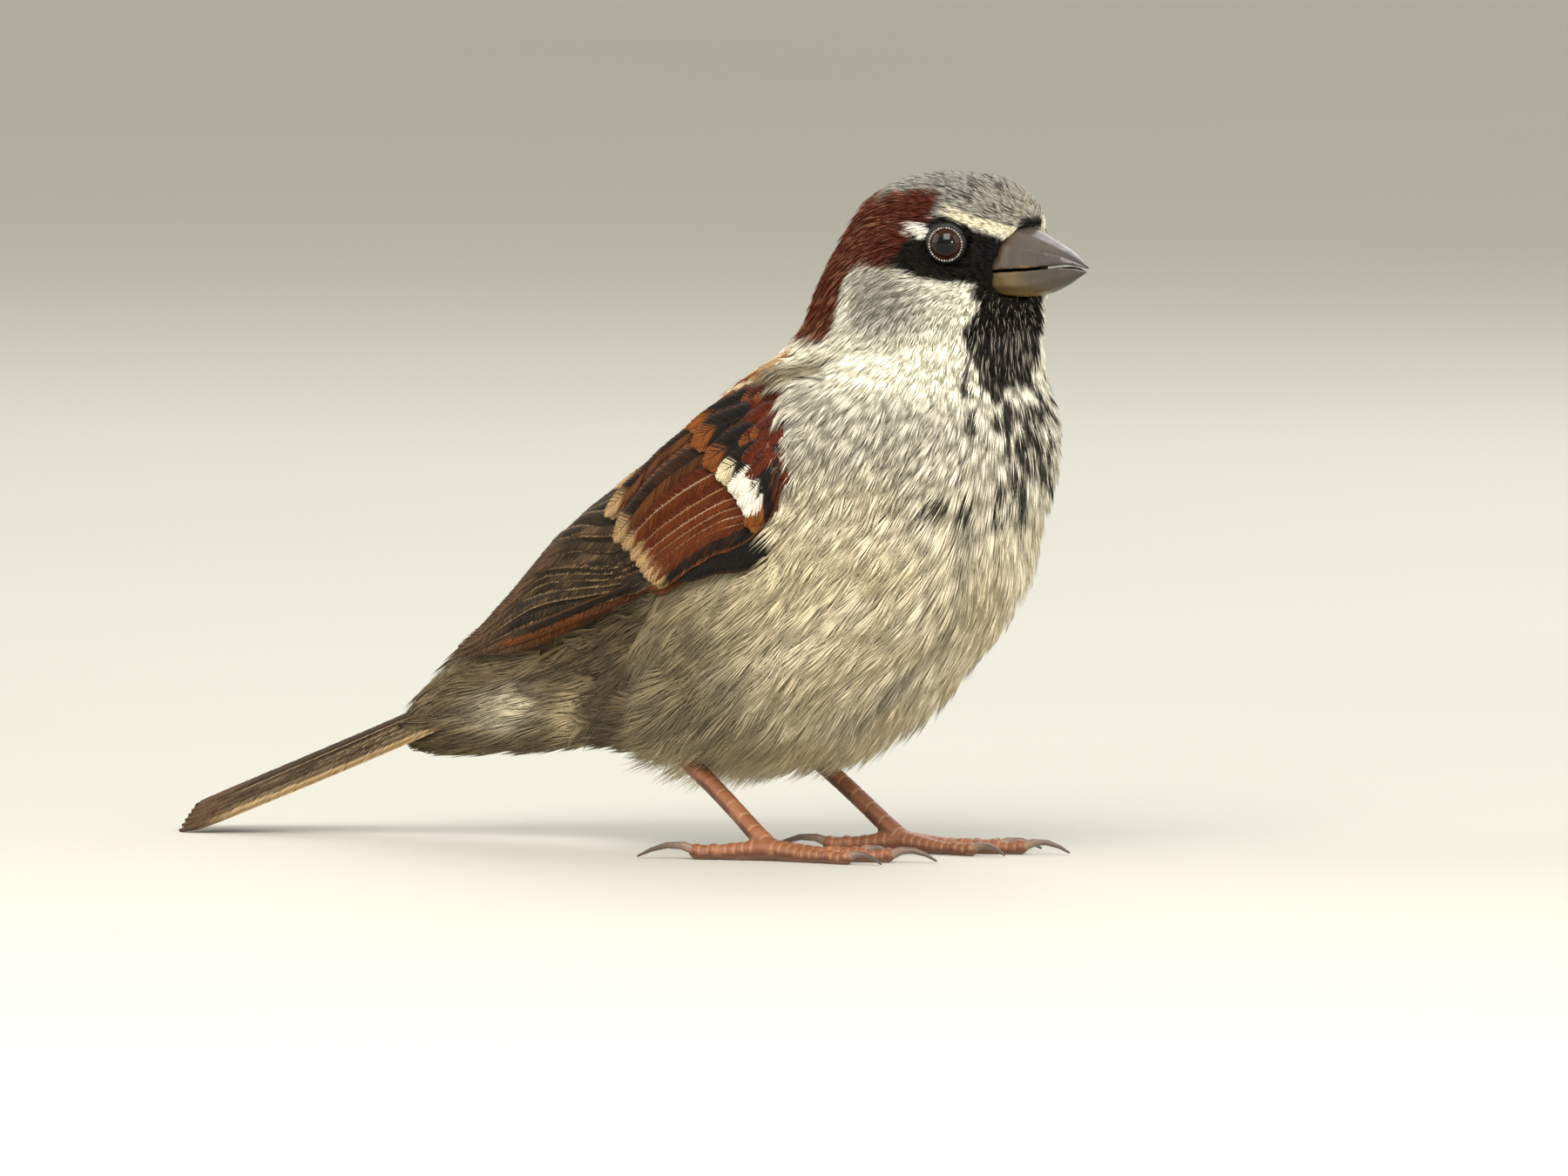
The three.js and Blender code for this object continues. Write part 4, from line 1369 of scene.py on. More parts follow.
class WingSheet:
    """The outer face of one folded wing, read by X along it and a share from its lower edge up."""

    FRONT, REAR, END = 12.0, -52.0, -60.0
    LOW, HIGH = -0.3, 1.3
    ROOT_LIMIT = 7.8  # no feather is rooted in front of this X

    def __init__(self, side: int, skin: Skin) -> None:
        """Casts the sheet from the model's own wing.

        Args:
            side: -1 for the right wing and 1 for the left.
            skin: holds the model's outer surface.
        """
        self.xs = np.linspace(self.FRONT, self.END, 73)
        self.ts = np.linspace(self.LOW, self.HIGH, 33)
        self.points = np.zeros((len(self.xs), len(self.ts), 3))
        for i, x in enumerate(self.xs):
            at = max(x, self.REAR)
            low, high, middle = (along(line, at) for line in (WING_LOWER, WING_UPPER, WING_MIDDLE))
            for j, t in enumerate(self.ts):
                chord = low + (high - low) * t
                out = unit(chord - middle)
                start = np.array([at, (middle[0] + out[0] * 60) * side, middle[1] + out[1] * 60])
                hit = skin.envelope.cast(start, np.array([0, -out[0] * side, -out[1]]))
                self.points[i, j] = (at, chord[0] * side, chord[1]) if hit is None else hit
            past = min(x - self.REAR, 0.0)
            self.points[i] += np.array([past, 0.0, past * 0.5])
        for _ in range(2):
            around = (self.points[:-2, 1:-1] + self.points[2:, 1:-1] + self.points[1:-1, :-2]
                      + self.points[1:-1, 2:]) / 4
            self.points[1:-1, 1:-1] = self.points[1:-1, 1:-1] * 0.5 + around * 0.5
        ahead, upward = np.gradient(self.points, axis=(0, 1))
        self.normals = unit(np.cross(ahead, upward))
        middle = self.normals[20, 16]
        self.normals *= 1.0 if middle @ np.array([0, side, 0.3]) > 0 else -1.0

    def read(self, x: Array, t: Array) -> Pair:
        """Places and normals at X along the wing and a share up it."""
        i = np.clip((x - self.FRONT) / (self.END - self.FRONT), 0, 0.9999) * (len(self.xs) - 1)
        j = np.clip((t - self.LOW) / (self.HIGH - self.LOW), 0, 0.9999) * (len(self.ts) - 1)
        corner = i.astype(int), j.astype(int)
        where = corner, (i - corner[0])[..., None], (j - corner[1])[..., None]
        return grid_read(self.points, *where), unit(grid_read(self.normals, *where))

    def vane(self, start: tuple[float, float], end: tuple[float, float], inner: float, outer: float,
             lift: float, bow: float = 0.0, **shape: float) -> Vane:
        """A feather laid on the sheet.

        Args:
            start: X and share up the wing at its root.
            end: the same at its tip.
            inner: half width of its upper web.
            outer: half width of its lower web.
            lift: height above the sheet.
            bow: how far its middle bows down the wing, as a share.
            shape: more of the vane's sizes.

        Returns:
            The feather.
        """
        u = np.linspace(0, 1, 17)
        root = min(start[0], self.ROOT_LIMIT)
        x = root + (end[0] - root) * u
        t = start[1] + (end[1] - start[1]) * u - bow * np.sin(math.pi * u)
        places, normals = self.read(x, t)
        down = unit(np.cross(np.gradient(places, axis=0), normals))
        lower, _ = self.read(x, t - 0.05)
        if ((lower - places) * down).sum() < 0:
            down = -down
        rise = lift + 0.25 * ease(0, 1, u) - 0.35 * ease(0.25, 0, u) - 1.7 * ease(0.5, 0.95, t)
        return Vane(places + normals * rise[:, None], normals, down, inner, outer, **shape)


class Tone:
    """The colours of the feathers of the wings and the tail."""

    DARK = linear("#2c231b")
    BLACK = linear("#15110e")
    SHAFT = linear("#1c1511")
    BROWN = linear("#54402e")
    RUFOUS = linear("#501f06")
    ORANGE = linear("#78431a")
    CHESTNUT = linear("#56200f")
    BUFF = linear("#a98b62")
    PALE = linear("#bda886")
    WHITE = linear("#ddd6c8")
    CREAM = linear("#d3c6a4")
    TAIL_EDGE = linear("#958163")
    TAIL_GOLD = linear("#a58b64")
    TAIL_SHAFT = linear("#2a211a")


def edged(dark: Array, edge: Array, width: float, luck: float, side: float = 0.0,
          tip: Array | None = None, tip_from: float = 0.93, shaft: Array | None = None) -> Paint:
    """The colour of a vane with a darker centre, paler edges and, if given, a tip and a shaft line.

    Args:
        dark: the centre.
        edge: the edges.
        width: how much of each web the edge takes.
        luck: the feather's own number.
        side: makes the outer web's edge wider, or the inner's if below 0.
        tip: the tip's colour.
        tip_from: where along the vane the tip begins.
        shaft: the shaft's colour.

    Returns:
        A function of the shares along and across the vane.
    """
    def colour(u: Array, v: Array) -> Array:
        """Colours at u along and v across, from the inner web to the outer."""
        wobble = (lattice(np.stack([u * 14, v * 4, np.full(len(u), luck * 40)], 1), 3) - 0.5) * 0.12
        start = 1 - width * np.where(v > 0, 1 + side, 1 - side) + wobble
        made = lerp(dark, edge, ease(start - 0.12, start + 0.12, np.abs(v)))
        if shaft is not None:
            made = lerp(made, shaft, ease(0.14, 0.02, np.abs(v)) * 0.5)
        if tip is not None:
            past = u + wobble * 0.3 + 0.04 * v ** 2
            made = lerp(made, tip, ease(tip_from - 0.08, tip_from + 0.03, past))
        return made * (0.9 + 0.25 * luck)

    return colour


@dataclass
class Wing:
    """One folded wing, feather by feather, from the longest below to the scapulars on top."""

    name: str
    side: int
    rng: Random
    primaries: int = 9
    secondaries: int = 6
    primary_coverts: int = 5
    greater: int = 10
    median: int = 8
    tips: Knots = ((0, -49.5, 0.12), (1, -53, 0.26), (2, -54.5, 0.40), (3, -54, 0.52),
                   (4, -51.5, 0.57), (5, -48.5, 0.59), (6, -46, 0.60), (7, -43.5, 0.60),
                   (8, -41, 0.60))  # of the primaries: number, X and share up the wing
    tertials: Sequence[Knots] = (((-10, 0.56), (-45, 0.82)), ((-9, 0.70), (-40.5, 0.90)),
                                 ((-8, 0.84), (-35, 0.98)))
    greater_roots: Knots = ((0, 4.5, 0.22), (5, -1, 0.44), (9, -8, 0.78))
    greater_tips: Knots = ((0, -15, 0.10), (2, -17.4, 0.17), (4, -20, 0.28), (6, -23.4, 0.43),
                           (8, -27.6, 0.60), (9, -30.4, 0.82))
    bar: Knots = ((0, 2.2, 0.22), (1, 1.8, 0.28), (2, 0.2, 0.34), (3, -2.2, 0.41), (5, -7, 0.53),
                  (7, -12, 0.68))  # tips of the median coverts
    lesser: Sequence[tuple[float, int]] = ((0.0, 8), (2.4, 8), (4.8, 7), (7.0, 6))  # X and feathers
    scapular_rows: int = 5

    def build(self, skin: Skin) -> None:
        """Lays every tract of the wing."""
        self.sheet = WingSheet(self.side, skin)
        flight = VaneBatch(f"flight_feathers_{self.name}", "flight_feathers",
                           [f"wing_tip_{self.name}"], 5)
        self.lay_flight(flight)
        coverts = VaneBatch(f"wing_coverts_{self.name}", "covert_feathers",
                            [f"wing_middle_{self.name}", f"wing_shoulder_{self.name}"], 10)
        self.lay_greater(coverts)
        self.lay_lesser(coverts)
        self.lay_scapulars(coverts)
        flight.build()
        coverts.build()
        flight.barbs(self.rng)
        coverts.barbs(self.rng)

    def lay_flight(self, batch: VaneBatch) -> None:
        """Primaries, secondaries and tertials."""
        for i in range(self.primaries):
            rufous = i < 2
            tone = edged(Tone.DARK, Tone.ORANGE if rufous else Tone.BUFF,
                         0.2 if rufous else 0.13, self.rng.random(), 0.8, Tone.BROWN, 0.92, Tone.SHAFT)
            batch.add(self.sheet.vane((-4 - 0.6 * i, 0.07 + 0.035 * i), tuple(along(self.tips, i)),
                                      1.9, 1.15, -1.15 + 0.13 * i, 0.03, tip=0.14, camber=0.06), tone, 13)
        for i in range(self.secondaries):
            tone = edged(Tone.DARK, lerp(Tone.ORANGE, Tone.BUFF, 0.75), 0.15,
                         self.rng.random(), 0.7, Tone.BROWN, 0.92, Tone.SHAFT)
            batch.add(self.sheet.vane((-8.0, 0.34 + 0.05 * i), (-42.0 + 0.8 * i, 0.58 + 0.05 * i),
                                      2.0, 1.3, -0.14 + 0.12 * i, 0.02, tip=0.12, camber=0.06), tone, 13)
        for i, (root, tip) in enumerate(self.tertials):
            tone = edged(lerp(Tone.DARK, Tone.BROWN, 0.35), Tone.RUFOUS, 0.4,
                         self.rng.random(), 0.5, Tone.BUFF, 0.95, Tone.BLACK)
            batch.add(self.sheet.vane(root, tip, 2.7, 2.4, 0.48 + 0.14 * i, camber=0.4), tone, 11)

    def lay_greater(self, batch: VaneBatch) -> None:
        """Primary coverts, then the greater and the median coverts."""
        for i in range(self.primary_coverts):
            tone = edged(Tone.BLACK, Tone.RUFOUS, 0.16, self.rng.random(), 0.3)
            batch.add(self.sheet.vane((7.0 - 0.5 * i, 0.02 + 0.03 * i), (-9.5 - 1.3 * i, 0.03 + 0.02 * i),
                                      1.5, 1.2, -0.35 + 0.06 * i, 0.01, tip=0.22), tone)
        for i in range(self.greater):
            luck = self.rng.random()
            if 1 <= i < 7:
                tone = edged(Tone.RUFOUS, lerp(Tone.RUFOUS, Tone.ORANGE, 0.6), 0.25, luck,
                             0.2, Tone.BUFF, 0.97, Tone.BUFF if i % 2 else Tone.PALE)
            else:
                tone = edged(Tone.BLACK, Tone.ORANGE, 0.2 if i == 0 else 0.3, luck, 0.1, Tone.BUFF)
            batch.add(self.sheet.vane(tuple(along(self.greater_roots, i)),
                                      tuple(along(self.greater_tips, i)), 2.3, 1.9, 0.15 + 0.09 * i,
                                      0.015, tip=0.16, ragged=0.12, camber=0.35), tone, 11)
        for i in range(self.median):
            x, t = along(self.bar, i)
            tip = (Tone.ORANGE, Tone.WHITE, Tone.WHITE, Tone.WHITE, Tone.CREAM)
            tone = edged(Tone.BLACK, Tone.RUFOUS, 0.2, 0.4 + 0.3 * self.rng.random(),
                         tip=tip[i] if i < len(tip) else Tone.ORANGE, tip_from=0.66 if i < 4 else 0.88)
            batch.add(self.sheet.vane((x + 10.0, t + 0.13), (x, t), 2.5, 2.4, 0.75 + 0.07 * i,
                                      tip=0.32, ragged=0.25, camber=0.4), tone, 11)

    def lay_lesser(self, batch: VaneBatch) -> None:
        """Rows of lesser coverts over the shoulder, chestnut, with a few dark ones high up."""
        for row, (front, count) in enumerate(self.lesser):
            for i in range(count):
                share = i / (count - 1)
                x = front + 4.4 - 9.4 * share
                if x > 7.0:
                    continue
                t = 0.34 + 0.44 * share + 0.04 * row + (self.rng.random() - 0.5) * 0.03
                luck = self.rng.random()
                if t > 0.8 and x > -4.0:
                    continue
                if share > 0.45 and luck > 0.5:
                    tone = edged(Tone.BLACK, Tone.CHESTNUT, 0.4, luck, 0.0, Tone.ORANGE, 0.95)
                else:
                    tone = edged(Tone.CHESTNUT, lerp(Tone.CHESTNUT, Tone.RUFOUS, 0.5), 0.4,
                                 luck, 0.0, Tone.RUFOUS, 0.9)
                batch.add(self.sheet.vane((x + 6.0, t + 0.06), (x, t), 1.9, 1.8,
                                          1.0 + 0.1 * row - 1.3 * ease(1, 7, x), tip=0.4, ragged=0.3,
                                          camber=0.4), tone)

    def lay_scapulars(self, batch: VaneBatch) -> None:
        """Scapulars over the wing's upper edge, streaked black on rufous and buff."""
        for row in range(self.scapular_rows):
            count = 10 - row
            for i in range(count):
                share = i / (count - 1)
                x = -25.0 + 4.0 * row + 26.0 * share ** 1.05 - 1.6 * row * share
                t = 0.97 - 0.09 * share + (self.rng.random() - 0.5) * 0.06 + 0.01 * row
                luck = self.rng.random()
                if x > -2.0:
                    continue
                edge = Tone.PALE if luck > 0.6 else Tone.BUFF if luck > 0.25 else Tone.ORANGE
                if x > -8.0:
                    edge = lerp(Tone.ORANGE, Tone.BUFF, luck * 0.8)
                tone = edged(Tone.BLACK, edge, 0.56, luck, -0.2, edge, 0.95)
                batch.add(self.sheet.vane((min(x + 10.5, 1.0), t + 0.03), (x, t - 0.02), 1.45, 1.5,
                                          0.7 + 0.025 * (count - i) + 0.12 * row, tip=0.34, ragged=0.3,
                                          camber=0.5), tone)


@dataclass
class Tail:
    """Twelve folded tail feathers, the middle pair on top."""

    root: tuple[float, float, float] = (-38.0, 0.0, 20.2)
    tip: tuple[float, float, float] = (-91.5, 0.0, -0.65)
    length: float = 57.0
    roll: float = 12.0
    arch: float = 2.4
    feathers: int = 12

    def build(self, rng: Random) -> None:
        """Lays the feathers, and their free barbs."""
        batch = VaneBatch("tail_feathers", "tail_feathers", ["tail"], 4)
        back = unit(np.array(self.tip) - np.array(self.root))
        flat = np.array([0.0, 1.0, 0.0])
        up = np.cross(flat, back)
        up = up * np.sign(up[2])
        angle = math.radians(self.roll)
        side = flat * math.cos(angle) + up * math.sin(angle)
        top = up * math.cos(angle) - flat * math.sin(angle)
        u = np.linspace(0, 1, 21)
        outermost = (self.feathers - 1) / 2
        order = sorted(np.arange(self.feathers) - outermost, key=lambda place: -abs(place))
        for number, place in enumerate(order):
            c = place / outermost
            reach = self.length * (0.985 - 0.035 * (1 - abs(c)))
            spread = c * (1.5 + 2.9 * u ** 0.7)
            half = 4.2 + 1.8 * u ** 0.8
            arch = self.arch * (1 - 0.6 * u)
            height = arch * (1 - (spread / half) ** 2) + 0.55 - 0.16 * abs(place) - 0.8 * abs(c) * (1 - u)
            spine = (np.array(self.root) + back * (reach * u)[:, None] + side * spread[:, None]
                     + top * height[:, None])
            lean = np.arctan(-2 * arch * spread / half ** 2)[:, None]
            outward = unit(side * np.cos(lean) + top * np.sin(lean)) * np.sign(c)
            golden = abs(c) > 0.95
            tone = edged(lerp(Tone.DARK, Tone.BROWN, 0.6 if golden else 0.3),
                         Tone.TAIL_GOLD if golden else Tone.TAIL_EDGE,
                         0.62 if golden else 0.2, 0.35 + 0.05 * number, 0.4, Tone.BROWN, 0.95,
                         Tone.TAIL_SHAFT)
            batch.add(Vane(spine, unit(top * np.cos(lean) - side * np.sin(lean)), outward, 2.7, 1.75,
                           tip=0.1, camber=0.35), tone)
        batch.build()
        batch.barbs(rng)


# ---------------- bill, eyes and legs
def ball(subdivisions: int, radius: float) -> Pair:
    """The points and the faces of a ball, modelled once to be copied."""
    seed = primitive("ball", bpy.ops.mesh.primitive_ico_sphere_add, subdivisions=subdivisions,
                     radius=radius)
    points = vertices_of(seed)
    faces = np.array([list(face.vertices) for face in seed.data.polygons])
    bpy.data.objects.remove(seed)
    return points, faces


def joined_balls(name: str, balls: Sequence[Array], faces: Array, hues: Array | None = None) -> Object:
    """One object of many copies of a ball, each with its own points."""
    corners = np.concatenate([faces + number * len(balls[0]) for number in range(len(balls))])
    return make_mesh(name, np.concatenate(balls), corners.ravel(), np.full(len(corners), 3), hues)


@dataclass
class Bill:
    """The bill: a dark upper half over a paler lower one, parted by the mouth line."""

    voxel: float = 0.16
    mouth: float = 68.2  # height of the mouth line

    def build(self) -> None:
        """Makes and dresses both halves."""
        for node, paint in (("upper_bill", self.upper), ("lower_bill", self.lower)):
            half = softened([node], f"{node}_horn", self.voxel, 0, 12)
            tint_vertices(half, paint(straight(half)))
            BILL.put_on(half, "bill_horn", [node])

    def upper(self, points: Array) -> Array:
        """Brown at its root, dark horn with a painted highlight of lighter grey along its ridge, and
        amber at its cutting edge.
        """
        x, _, z = points.T
        height = np.clip((z - self.mouth) / np.maximum(along(BILL_ROWS, x)[:, 0] - self.mouth, 0.4), 0, 1)
        base = shade(((25.0, "#46372b"), (29.6, "#40342a"), (31.4, "#3f3833"), (35.0, "#3a3531"),
                      (39.0, "#332d2a")), x)
        # Painted highlight: lighter grey over the upper part of the bill, along its ridge, fading before
        # the tip.
        base = lerp(base, linear("#544c45"), ease(0.5, 0.95, height) * 0.6 * ease(39, 34, x))
        amber = ease(0.16, 0, height) * ease(30.5, 32, x) * ease(38, 35.5, x)
        return lerp(base, linear("#8a6238"), amber * 0.8)

    def lower(self, points: Array) -> Array:
        """Olive-yellow at its root, darkening to the tip and up towards the mouth line."""
        x, _, z = points.T
        keel = along(BILL_ROWS, x)[:, 1]
        height = np.clip((z - keel) / np.maximum(self.mouth - keel, 0.4), 0, 1)
        base = shade(((26.0, "#605134"), (31.0, "#584a30"), (34.0, "#463c2d"), (36.5, "#3c342c"),
                      (39.0, "#2d2725")), x)
        base = lerp(base, linear("#3b3530"), ease(0.25, 0.8, height) * ease(30, 32.5, x) * 0.8)
        return lerp(base, linear("#8a6c3a"), ease(0.25, 0, height) * ease(35.5, 31, x) * 0.6)


@dataclass
class Eye:
    """One eye, with its lids and the ring of small pale beads on them."""

    name: str
    side: int
    radius: float = 3.2
    ring: float = 1.93
    beads: int = 38
    bead: float = 0.125
    bulge: float = 0.34  # how far the clear front stands out of the ball
    lid: float = 0.29
    lid_out: float = 0.25  # how far the middle of the lid lies outside the ring

    def turned(self, points: Array) -> Array:
        """Points about an axis along +Z, turned to the eye's own axis and placed."""
        ahead = unit(np.array(EYE_AXIS)) * np.array([1, self.side, 1])
        across = unit(np.cross(np.array([0.0, 0.0, 1.0]), ahead))
        return (eye_front(self.side, 0.0) + points[:, :1] * across
                + points[:, 1:2] * np.cross(ahead, across) + points[:, 2:] * ahead)

    def build(self) -> None:
        """Makes the eyeball, lids and beads."""
        self.eyeball()
        self.lids()
        self.bead_ring()

    def eyeball(self) -> None:
        """The eyeball, with its clear front bulged and rings on its own map."""
        obj = primitive(f"eyeball_{self.name}", bpy.ops.mesh.primitive_uv_sphere_add, segments=72,
                        ring_count=48, radius=self.radius - 0.02)
        points = vertices_of(obj)
        polar = np.arccos(np.clip(points[:, 2] / norm(points, axis=1), -1, 1))
        points *= (1 + self.bulge * np.clip(1 - (polar / 0.62) ** 2, 0, 1) / self.radius)[:, None]
        corners = np.zeros(len(obj.data.loops), np.int32)
        obj.data.loops.foreach_get("vertex_index", corners)
        turn = np.arctan2(points[:, 1], points[:, 0]) / math.tau + 0.5
        own = np.stack([turn, polar / math.pi], 1)[corners]
        obj.data.uv_layers.new(name="Iris").data.foreach_set("uv", own.astype(np.float32).ravel())
        place_vertices(obj, BIRD.out(self.turned(points)))
        EYES.put_on(obj, "eye", [f"eye_{self.name}"])

    def lids(self) -> None:
        """A soft dark rim round the eye, wider than the beads, that closes the socket."""
        middle = self.ring + self.lid_out
        obj = primitive(f"eyelids_{self.name}", bpy.ops.mesh.primitive_torus_add, major_segments=64,
                        minor_segments=16, major_radius=middle, minor_radius=self.lid)
        points = vertices_of(obj)
        high = math.sqrt(self.radius ** 2 - middle ** 2) - 0.02
        out = np.hypot(points[:, 0], points[:, 1])
        points[:, 2] = points[:, 2] * 0.6 + high - 0.4 * ease(self.ring, self.ring + 0.9, out)
        place_vertices(obj, BIRD.out(self.turned(points)))
        tint_vertices(obj, np.tile(linear("#0d0b0a"), (len(points), 1)))
        LIDS.put_on(obj, "crown_feathers")

    def bead_ring(self) -> None:
        """The beads, modelled once and copied round the rim."""
        shape, faces = ball(2, self.bead)
        high = math.sqrt(self.radius ** 2 - self.ring ** 2) + 0.2
        balls, hues = [], []
        for number in range(self.beads):
            angle = math.tau * number / self.beads
            grow = 0.86 + 0.3 * (math.sin(number * 2.3) * 0.5 + 0.5)
            middle = np.array([self.ring * math.cos(angle), self.ring * math.sin(angle), high])
            balls.append(self.turned(shape * np.array([grow, grow, 0.8]) + middle))
            tone = linear("#978f85") * (0.62 + 0.5 * (math.sin(number * 1.7) * 0.5 + 0.5))
            hues.append(np.tile(tone, (len(shape), 1)))
        made = joined_balls(f"eyelid_beads_{self.name}", balls, faces, np.concatenate(hues))
        LIDS.put_on(made, "crown_feathers")


@dataclass(frozen=True)
class Foot:
    """Where one foot stands and how its leg and toes run, in millimetres of the straight frame."""

    name: str
    side: int
    at: tuple[float, float]
    up: tuple[float, float, float]
    ground: float = -1.2
    yaw: float = 28.0
    tarsus: float = 19.5
    height: float = 1.15
    turns: tuple[float, ...] = (-25.0, 0.0, 24.0, 180.0)
    lengths: tuple[float, ...] = (10.0, 14.2, 11.2, 8.6)
    radii: tuple[float, ...] = (0.85, 0.95, 0.85, 1.0)
    claws: tuple[float, ...] = (4.6, 5.2, 4.6, 7.0)
    root: float = 4.6  # how far the swelling at the root of the toes reaches
    root_radius: float = 1.3
    joints: tuple[float, ...] = (0.48, 0.72, 0.93)  # where each toe swells, as shares of its length
    leg_plate: float = 2.3
    toe_plate: float = 1.05

    def lines(self) -> list[Pair]:
        """The two ends of the leg's line and of each toe's line."""
        low = np.array([*self.at, self.ground + self.height])
        found = [(low + unit(np.array(self.up)) * self.tarsus, low)]
        for turn, length in zip(self.turns, self.lengths):
            heading = math.radians(self.yaw + turn * self.side)
            ahead = np.array([math.cos(heading), math.sin(heading), 0.0])
            found.append((low, low + ahead * (length + 0.8)))
        return found

    def build(self) -> None:
        """Makes the scaled leg with its toes, and the claws."""
        nodes = [f"leg_{self.name}", *(f"{toe}_toe_{self.name}" for toe in TOES)]
        leg = softened(nodes, f"scaled_leg_{self.name}", 0.17, 0.19, 5, self.pads())
        points = straight(leg)
        normals = normals_of(leg)
        seam, top = self.scutes(points, normals)
        grown = BIRD.out(points) + normals * ((0.06 * top * (1 - seam) - 0.03 * seam)[:, None] * MM)
        grown[:, 2] = np.maximum(grown[:, 2], 0.0)
        place_vertices(leg, grown)
        # Painted shade: the skin is darker where it faces down or back, away from the light.
        hue = lerp(linear("#7d4d33"), linear("#573324"),
                   1 - ease(-0.2, 0.5, normals[:, 2] + normals[:, 0] * 0.4))
        hue = lerp(hue, linear("#a0694a"), ease(0.5, 0.75, lattice(points * 0.5, 9)) * 0.4)
        hue = lerp(hue, linear("#ab8059"), seam * top * 0.5)
        hue = lerp(hue, linear("#8a6a55"), ease(-0.2, -0.8, normals[:, 2]) * 0.5)
        tint_vertices(leg, hue)
        LEGS.put_on(leg, "leg_skin", nodes)
        self.claw_pieces()

    def pads(self) -> Object:
        """Balls that carry the end of the leg over into the toes, and swell at their joints."""
        shape, faces = ball(3, 1.0)
        balls = []
        for (start, end), radius in zip(self.lines()[1:], self.radii):
            length = norm(end - start)
            ahead = (end - start) / length
            for place in np.linspace(0.0, self.root, 10):
                size = radius + (self.root_radius - radius) * (1 - place / self.root)
                middle = start + ahead * place + np.array([0.0, 0.0, size * 0.92 - self.height])
                balls.append(shape * size + middle)
            for share in self.joints:
                size = radius * (1.1 - 0.14 * share)
                middle = start + ahead * length * share + np.array([0.0, 0.0, size * 0.9 - self.height])
                balls.append(shape * size * np.array([1.0, 1.0, 0.96]) + middle)
        return joined_balls(f"pads_{self.name}", balls, faces)

    def scutes(self, points: Array, normals: Array) -> Pair:
        """How close each place is to a seam between plates, and how far it faces up or forward."""
        lines = self.lines()
        shares, gaps = zip(*(beside(points, *line, 0.05) for line in lines))
        places = [share * norm(end - start) for share, (start, end) in zip(shares, lines)]
        number = np.argmin(gaps, axis=0)
        shank = number == 0
        pitch = np.where(shank, self.leg_plate, self.toe_plate)
        phase = np.stack(places)[number, np.arange(len(points))] / pitch + 0.12 * lattice(points * 0.8, 4)
        seam = ease(0.2, 0.06, np.abs(phase - np.round(phase)) * pitch)
        facing = normals[:, 2] * np.where(shank, 0.75, 1.0) + normals[:, 0] * shank
        return seam, ease(-0.25, 0.3, facing)

    def claw_pieces(self) -> None:
        """The four claws, each from its own CAD node."""
        for (start, end), toe, length in zip(self.lines()[1:], TOES, self.claws):
            node = f"{toe}_toe_claw_{self.name}"
            claw = softened([node], f"{toe}_claw_horn_{self.name}", 0.09, 0, 3)
            points = straight(claw)
            share = np.clip(norm((points - end)[:, :2], axis=1) / length, 0, 1)
            back = unit(start - end) * (0.75 * (1 - share) ** 1.5)[:, None]
            place_vertices(claw, BIRD.out(points + back))
            tint_vertices(claw, shade(((0.0, "#8d7562"), (0.45, "#5c4a40"), (1.0, "#3a2f2b")), share))
            CLAW.put_on(claw, "claw_horn", [node])


# ---------------- floor, light and camera
# Lamps: name, azimuth and elevation, distance, power, size and colour.
LAMPS = (("key", (34.0, 38.0), 1.0, 11.0, 0.6, "#fffaf2"),
         ("fill", (100.0, 22.0), 1.1, 3.7, 0.8, "#f4f7ff"),
         ("left_fill", (-40.0, 20.0), 1.1, 4.6, 0.8, "#fbf7ee"),
         ("spark", (65.0, 6.0), 1.0, 1.8, 0.15, "#ffffff"),
         ("back", (205.0, 40.0), 1.0, 4.5, 0.7, "#ffffff"))


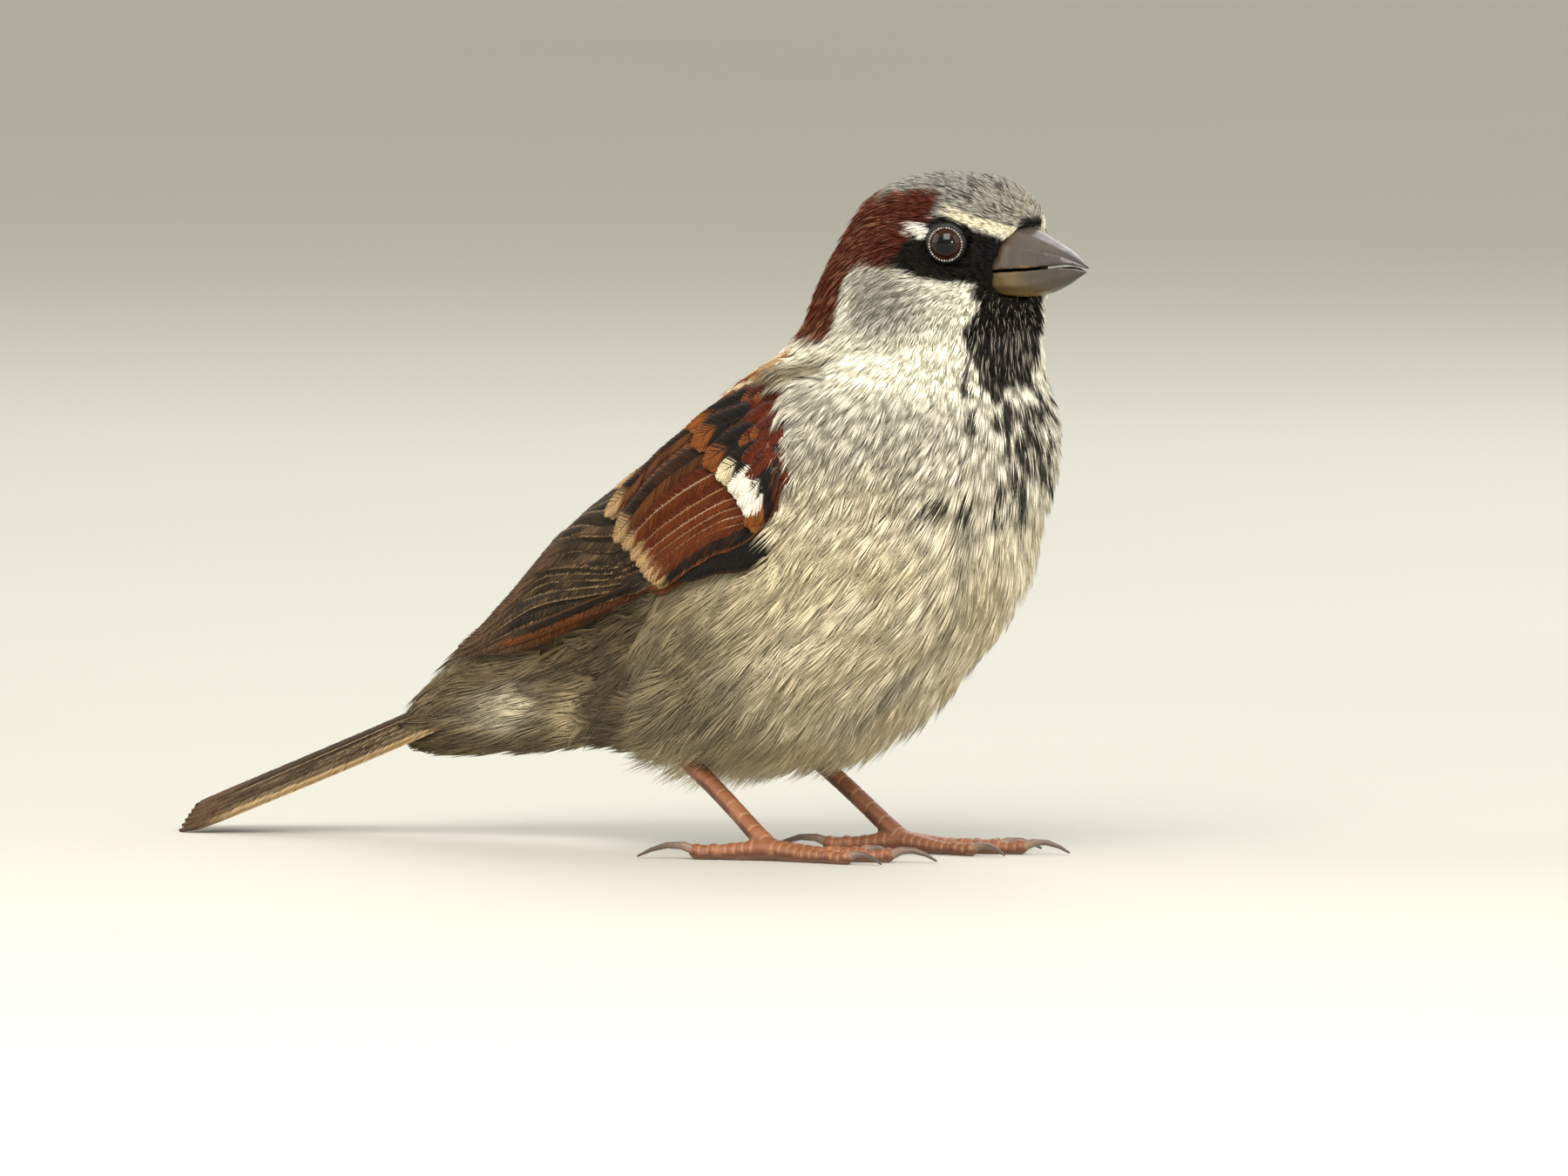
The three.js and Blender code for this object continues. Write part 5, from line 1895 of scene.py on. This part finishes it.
@dataclass(frozen=True)
class Stage:
    """A plain pale floor, soft studio light, and the camera."""

    view: tuple[float, float] = (42.0, 3.5)
    pixels_a_mm: float = 9.9
    frame: tuple[int, int] = (1800, 1350)
    feet_pixel: tuple[float, float] = (960.5, 983.0)  # where the floor between the feet shows
    distance: float = 5.0
    sensor: float = 36.0

    def build(self) -> None:
        """Makes the floor, the lights, the world and the camera."""
        self.floor()
        for lamp in LAMPS:
            self.light(*lamp)
        self.world()
        self.camera()
        bpy.context.scene.view_settings.view_transform = "Standard"

    def floor(self) -> None:
        """A wide floor of matt paper, with a faint grain."""
        floor = primitive("floor", bpy.ops.mesh.primitive_plane_add, size=80.0, location=(0, 0, -0.00002))
        material = bpy.data.materials.new("matt_paper_floor")
        material.use_nodes = True
        tree = material.node_tree
        grain = add(tree, "TexNoise", {"Vector": add(tree, "TexCoord", {}).outputs["Object"],
                                       "Scale": 3.0, "Detail": 2.0})
        tone = add(tree, "ValToRGB", {0: grain}, [(0.3, linear("#bcbab2")), (0.7, linear("#c1bfb7"))])
        wire(tree, tree.nodes["Principled BSDF"], {"Base Color": tone, "Roughness": 0.85})
        floor.data.materials.append(material)

    def world(self) -> None:
        """An even pale sky that darkens to the floor's tone at the horizon."""
        world = bpy.data.worlds.new("studio")
        world.use_nodes = True
        tree = world.node_tree
        split = add(tree, "SeparateXYZ", {0: add(tree, "TexCoord", {}).outputs["Generated"]})
        pale = linear("#dcdad0")
        sky = add(tree, "ValToRGB", {0: split.outputs["Z"]},
                  [(0.03, pale * linear("#c9c7be")), (0.16, pale)])
        wire(tree, tree.nodes["Background"], {"Color": sky, "Strength": 1.02})
        bpy.context.scene.world = world

    def axes(self, azimuth: float, elevation: float) -> tuple[Array, Array, Array]:
        """The right, back and up directions of a view."""
        a, e = math.radians(azimuth), math.radians(elevation)
        right = np.array([math.cos(a), math.sin(a), 0])
        back = np.array([math.sin(a) * math.cos(e), -math.cos(a) * math.cos(e), math.sin(e)])
        return right, back, np.cross(back, right)

    def hang(self, name: str, data: bpy.types.ID, back: Array, middle: Array, distance: float) -> Object:
        """Puts a lamp or a camera at a distance from a middle, and turns it there."""
        obj = bpy.data.objects.new(name, data)
        obj.location = Vector(middle + back * distance)
        obj.rotation_euler = Vector(back).to_track_quat("Z", "Y").to_euler()
        bpy.context.scene.collection.objects.link(obj)
        return obj

    def light(self, name: str, view: tuple[float, float], distance: float, power: float, size: float,
              hue: str) -> None:
        """Hangs an area light, turned to the bird's middle."""
        data = bpy.data.lights.new(name, "AREA")
        data.energy, data.size, data.color = power, size, linear(hue)
        self.hang(name, data, self.axes(*view)[1], np.array([0, 0, 0.04]), distance)

    def camera(self) -> None:
        """A long lens far off, so that sizes over the bird stay true."""
        right, back, up = self.axes(*self.view)
        feet = BIRD.out(np.zeros((1, 3)))[0] * np.array([1, 1, 0])
        aside = (self.frame[0] / 2 - self.feet_pixel[0]) / self.pixels_a_mm * MM
        above = (self.feet_pixel[1] - self.frame[1] / 2) / self.pixels_a_mm * MM
        data = bpy.data.cameras.new("camera")
        data.sensor_width = self.sensor
        data.lens = self.sensor * self.distance / (self.frame[0] / self.pixels_a_mm * MM)
        data.clip_start, data.clip_end = 0.1, 100.0
        bpy.context.scene.camera = self.hang("camera", data, back, feet + right * aside + up * above,
                                             self.distance)


# ---------------- the bird
class Region(Enum):
    """The tracts of plumes."""

    HEAD = "head_plumes"
    BODY = "body_plumes"


def tract(region: Region) -> Plumage:
    """The plumage of one region.

    Args:
        region: which.

    Returns:
        The tract, ready to grow.
    """
    if region is Region.HEAD:
        return Plumage(region.value, Barbs(15, 0.115, 1.0, 0.34, 0.6), HEAD_BARBS,
            spacing=lambda p: head_size(p, 0.46, 0.95), length=lambda p: head_size(p, 1.35, 4.2),
            width=lambda p: head_size(p, 0.85, 2.1),
            belongs=lambda p: on_the_head(p) & ~by_the_eye(p, 2.5) & ~in_the_bill(p, 0.15),
            slot="crown_feathers")
    return Plumage(region.value, Barbs(40, 0.15, 0.95, 0.42, 0.66), BARBS,
        spacing=lambda p: body_size(p, 1.05, 1.6, 1.95, 1.75),
        length=lambda p: body_size(p, 4.6, 7.6, 9.8, 8.2),
        width=lambda p: body_size(p, 2.6, 4.4, 5.4, 4.2),
        belongs=lambda p: ~on_the_head(p) & (wing_inset(p) < 3.4) & (p[:, 0] > -61.8),
        slot="breast_feathers")


def main() -> None:
    """Builds the bird piece by piece, then the stage round it."""
    logging.basicConfig(level=logging.INFO, format="%(name)s: %(message)s")
    rng = np.random.default_rng(SEED)
    skin = Skin()
    body = skin.build()
    skin.dress(body)
    lie = Lie()
    for region in Region:
        tract(region).build(skin, lie, rng)
    for name, side in SIDES.items():
        Wing(name, side, rng).build(skin)
        Eye(name, side).build()
    Tail().build(rng)
    Bill().build()
    Foot("right", -1, (-0.9, -10.5), (-12.0, 1.6, 7.8)).build()
    Foot("left", 1, (1.0, 10.5), (-9.5, -2.4, 7.8)).build()
    Stage().build()


if __name__ == "__main__":
    main()
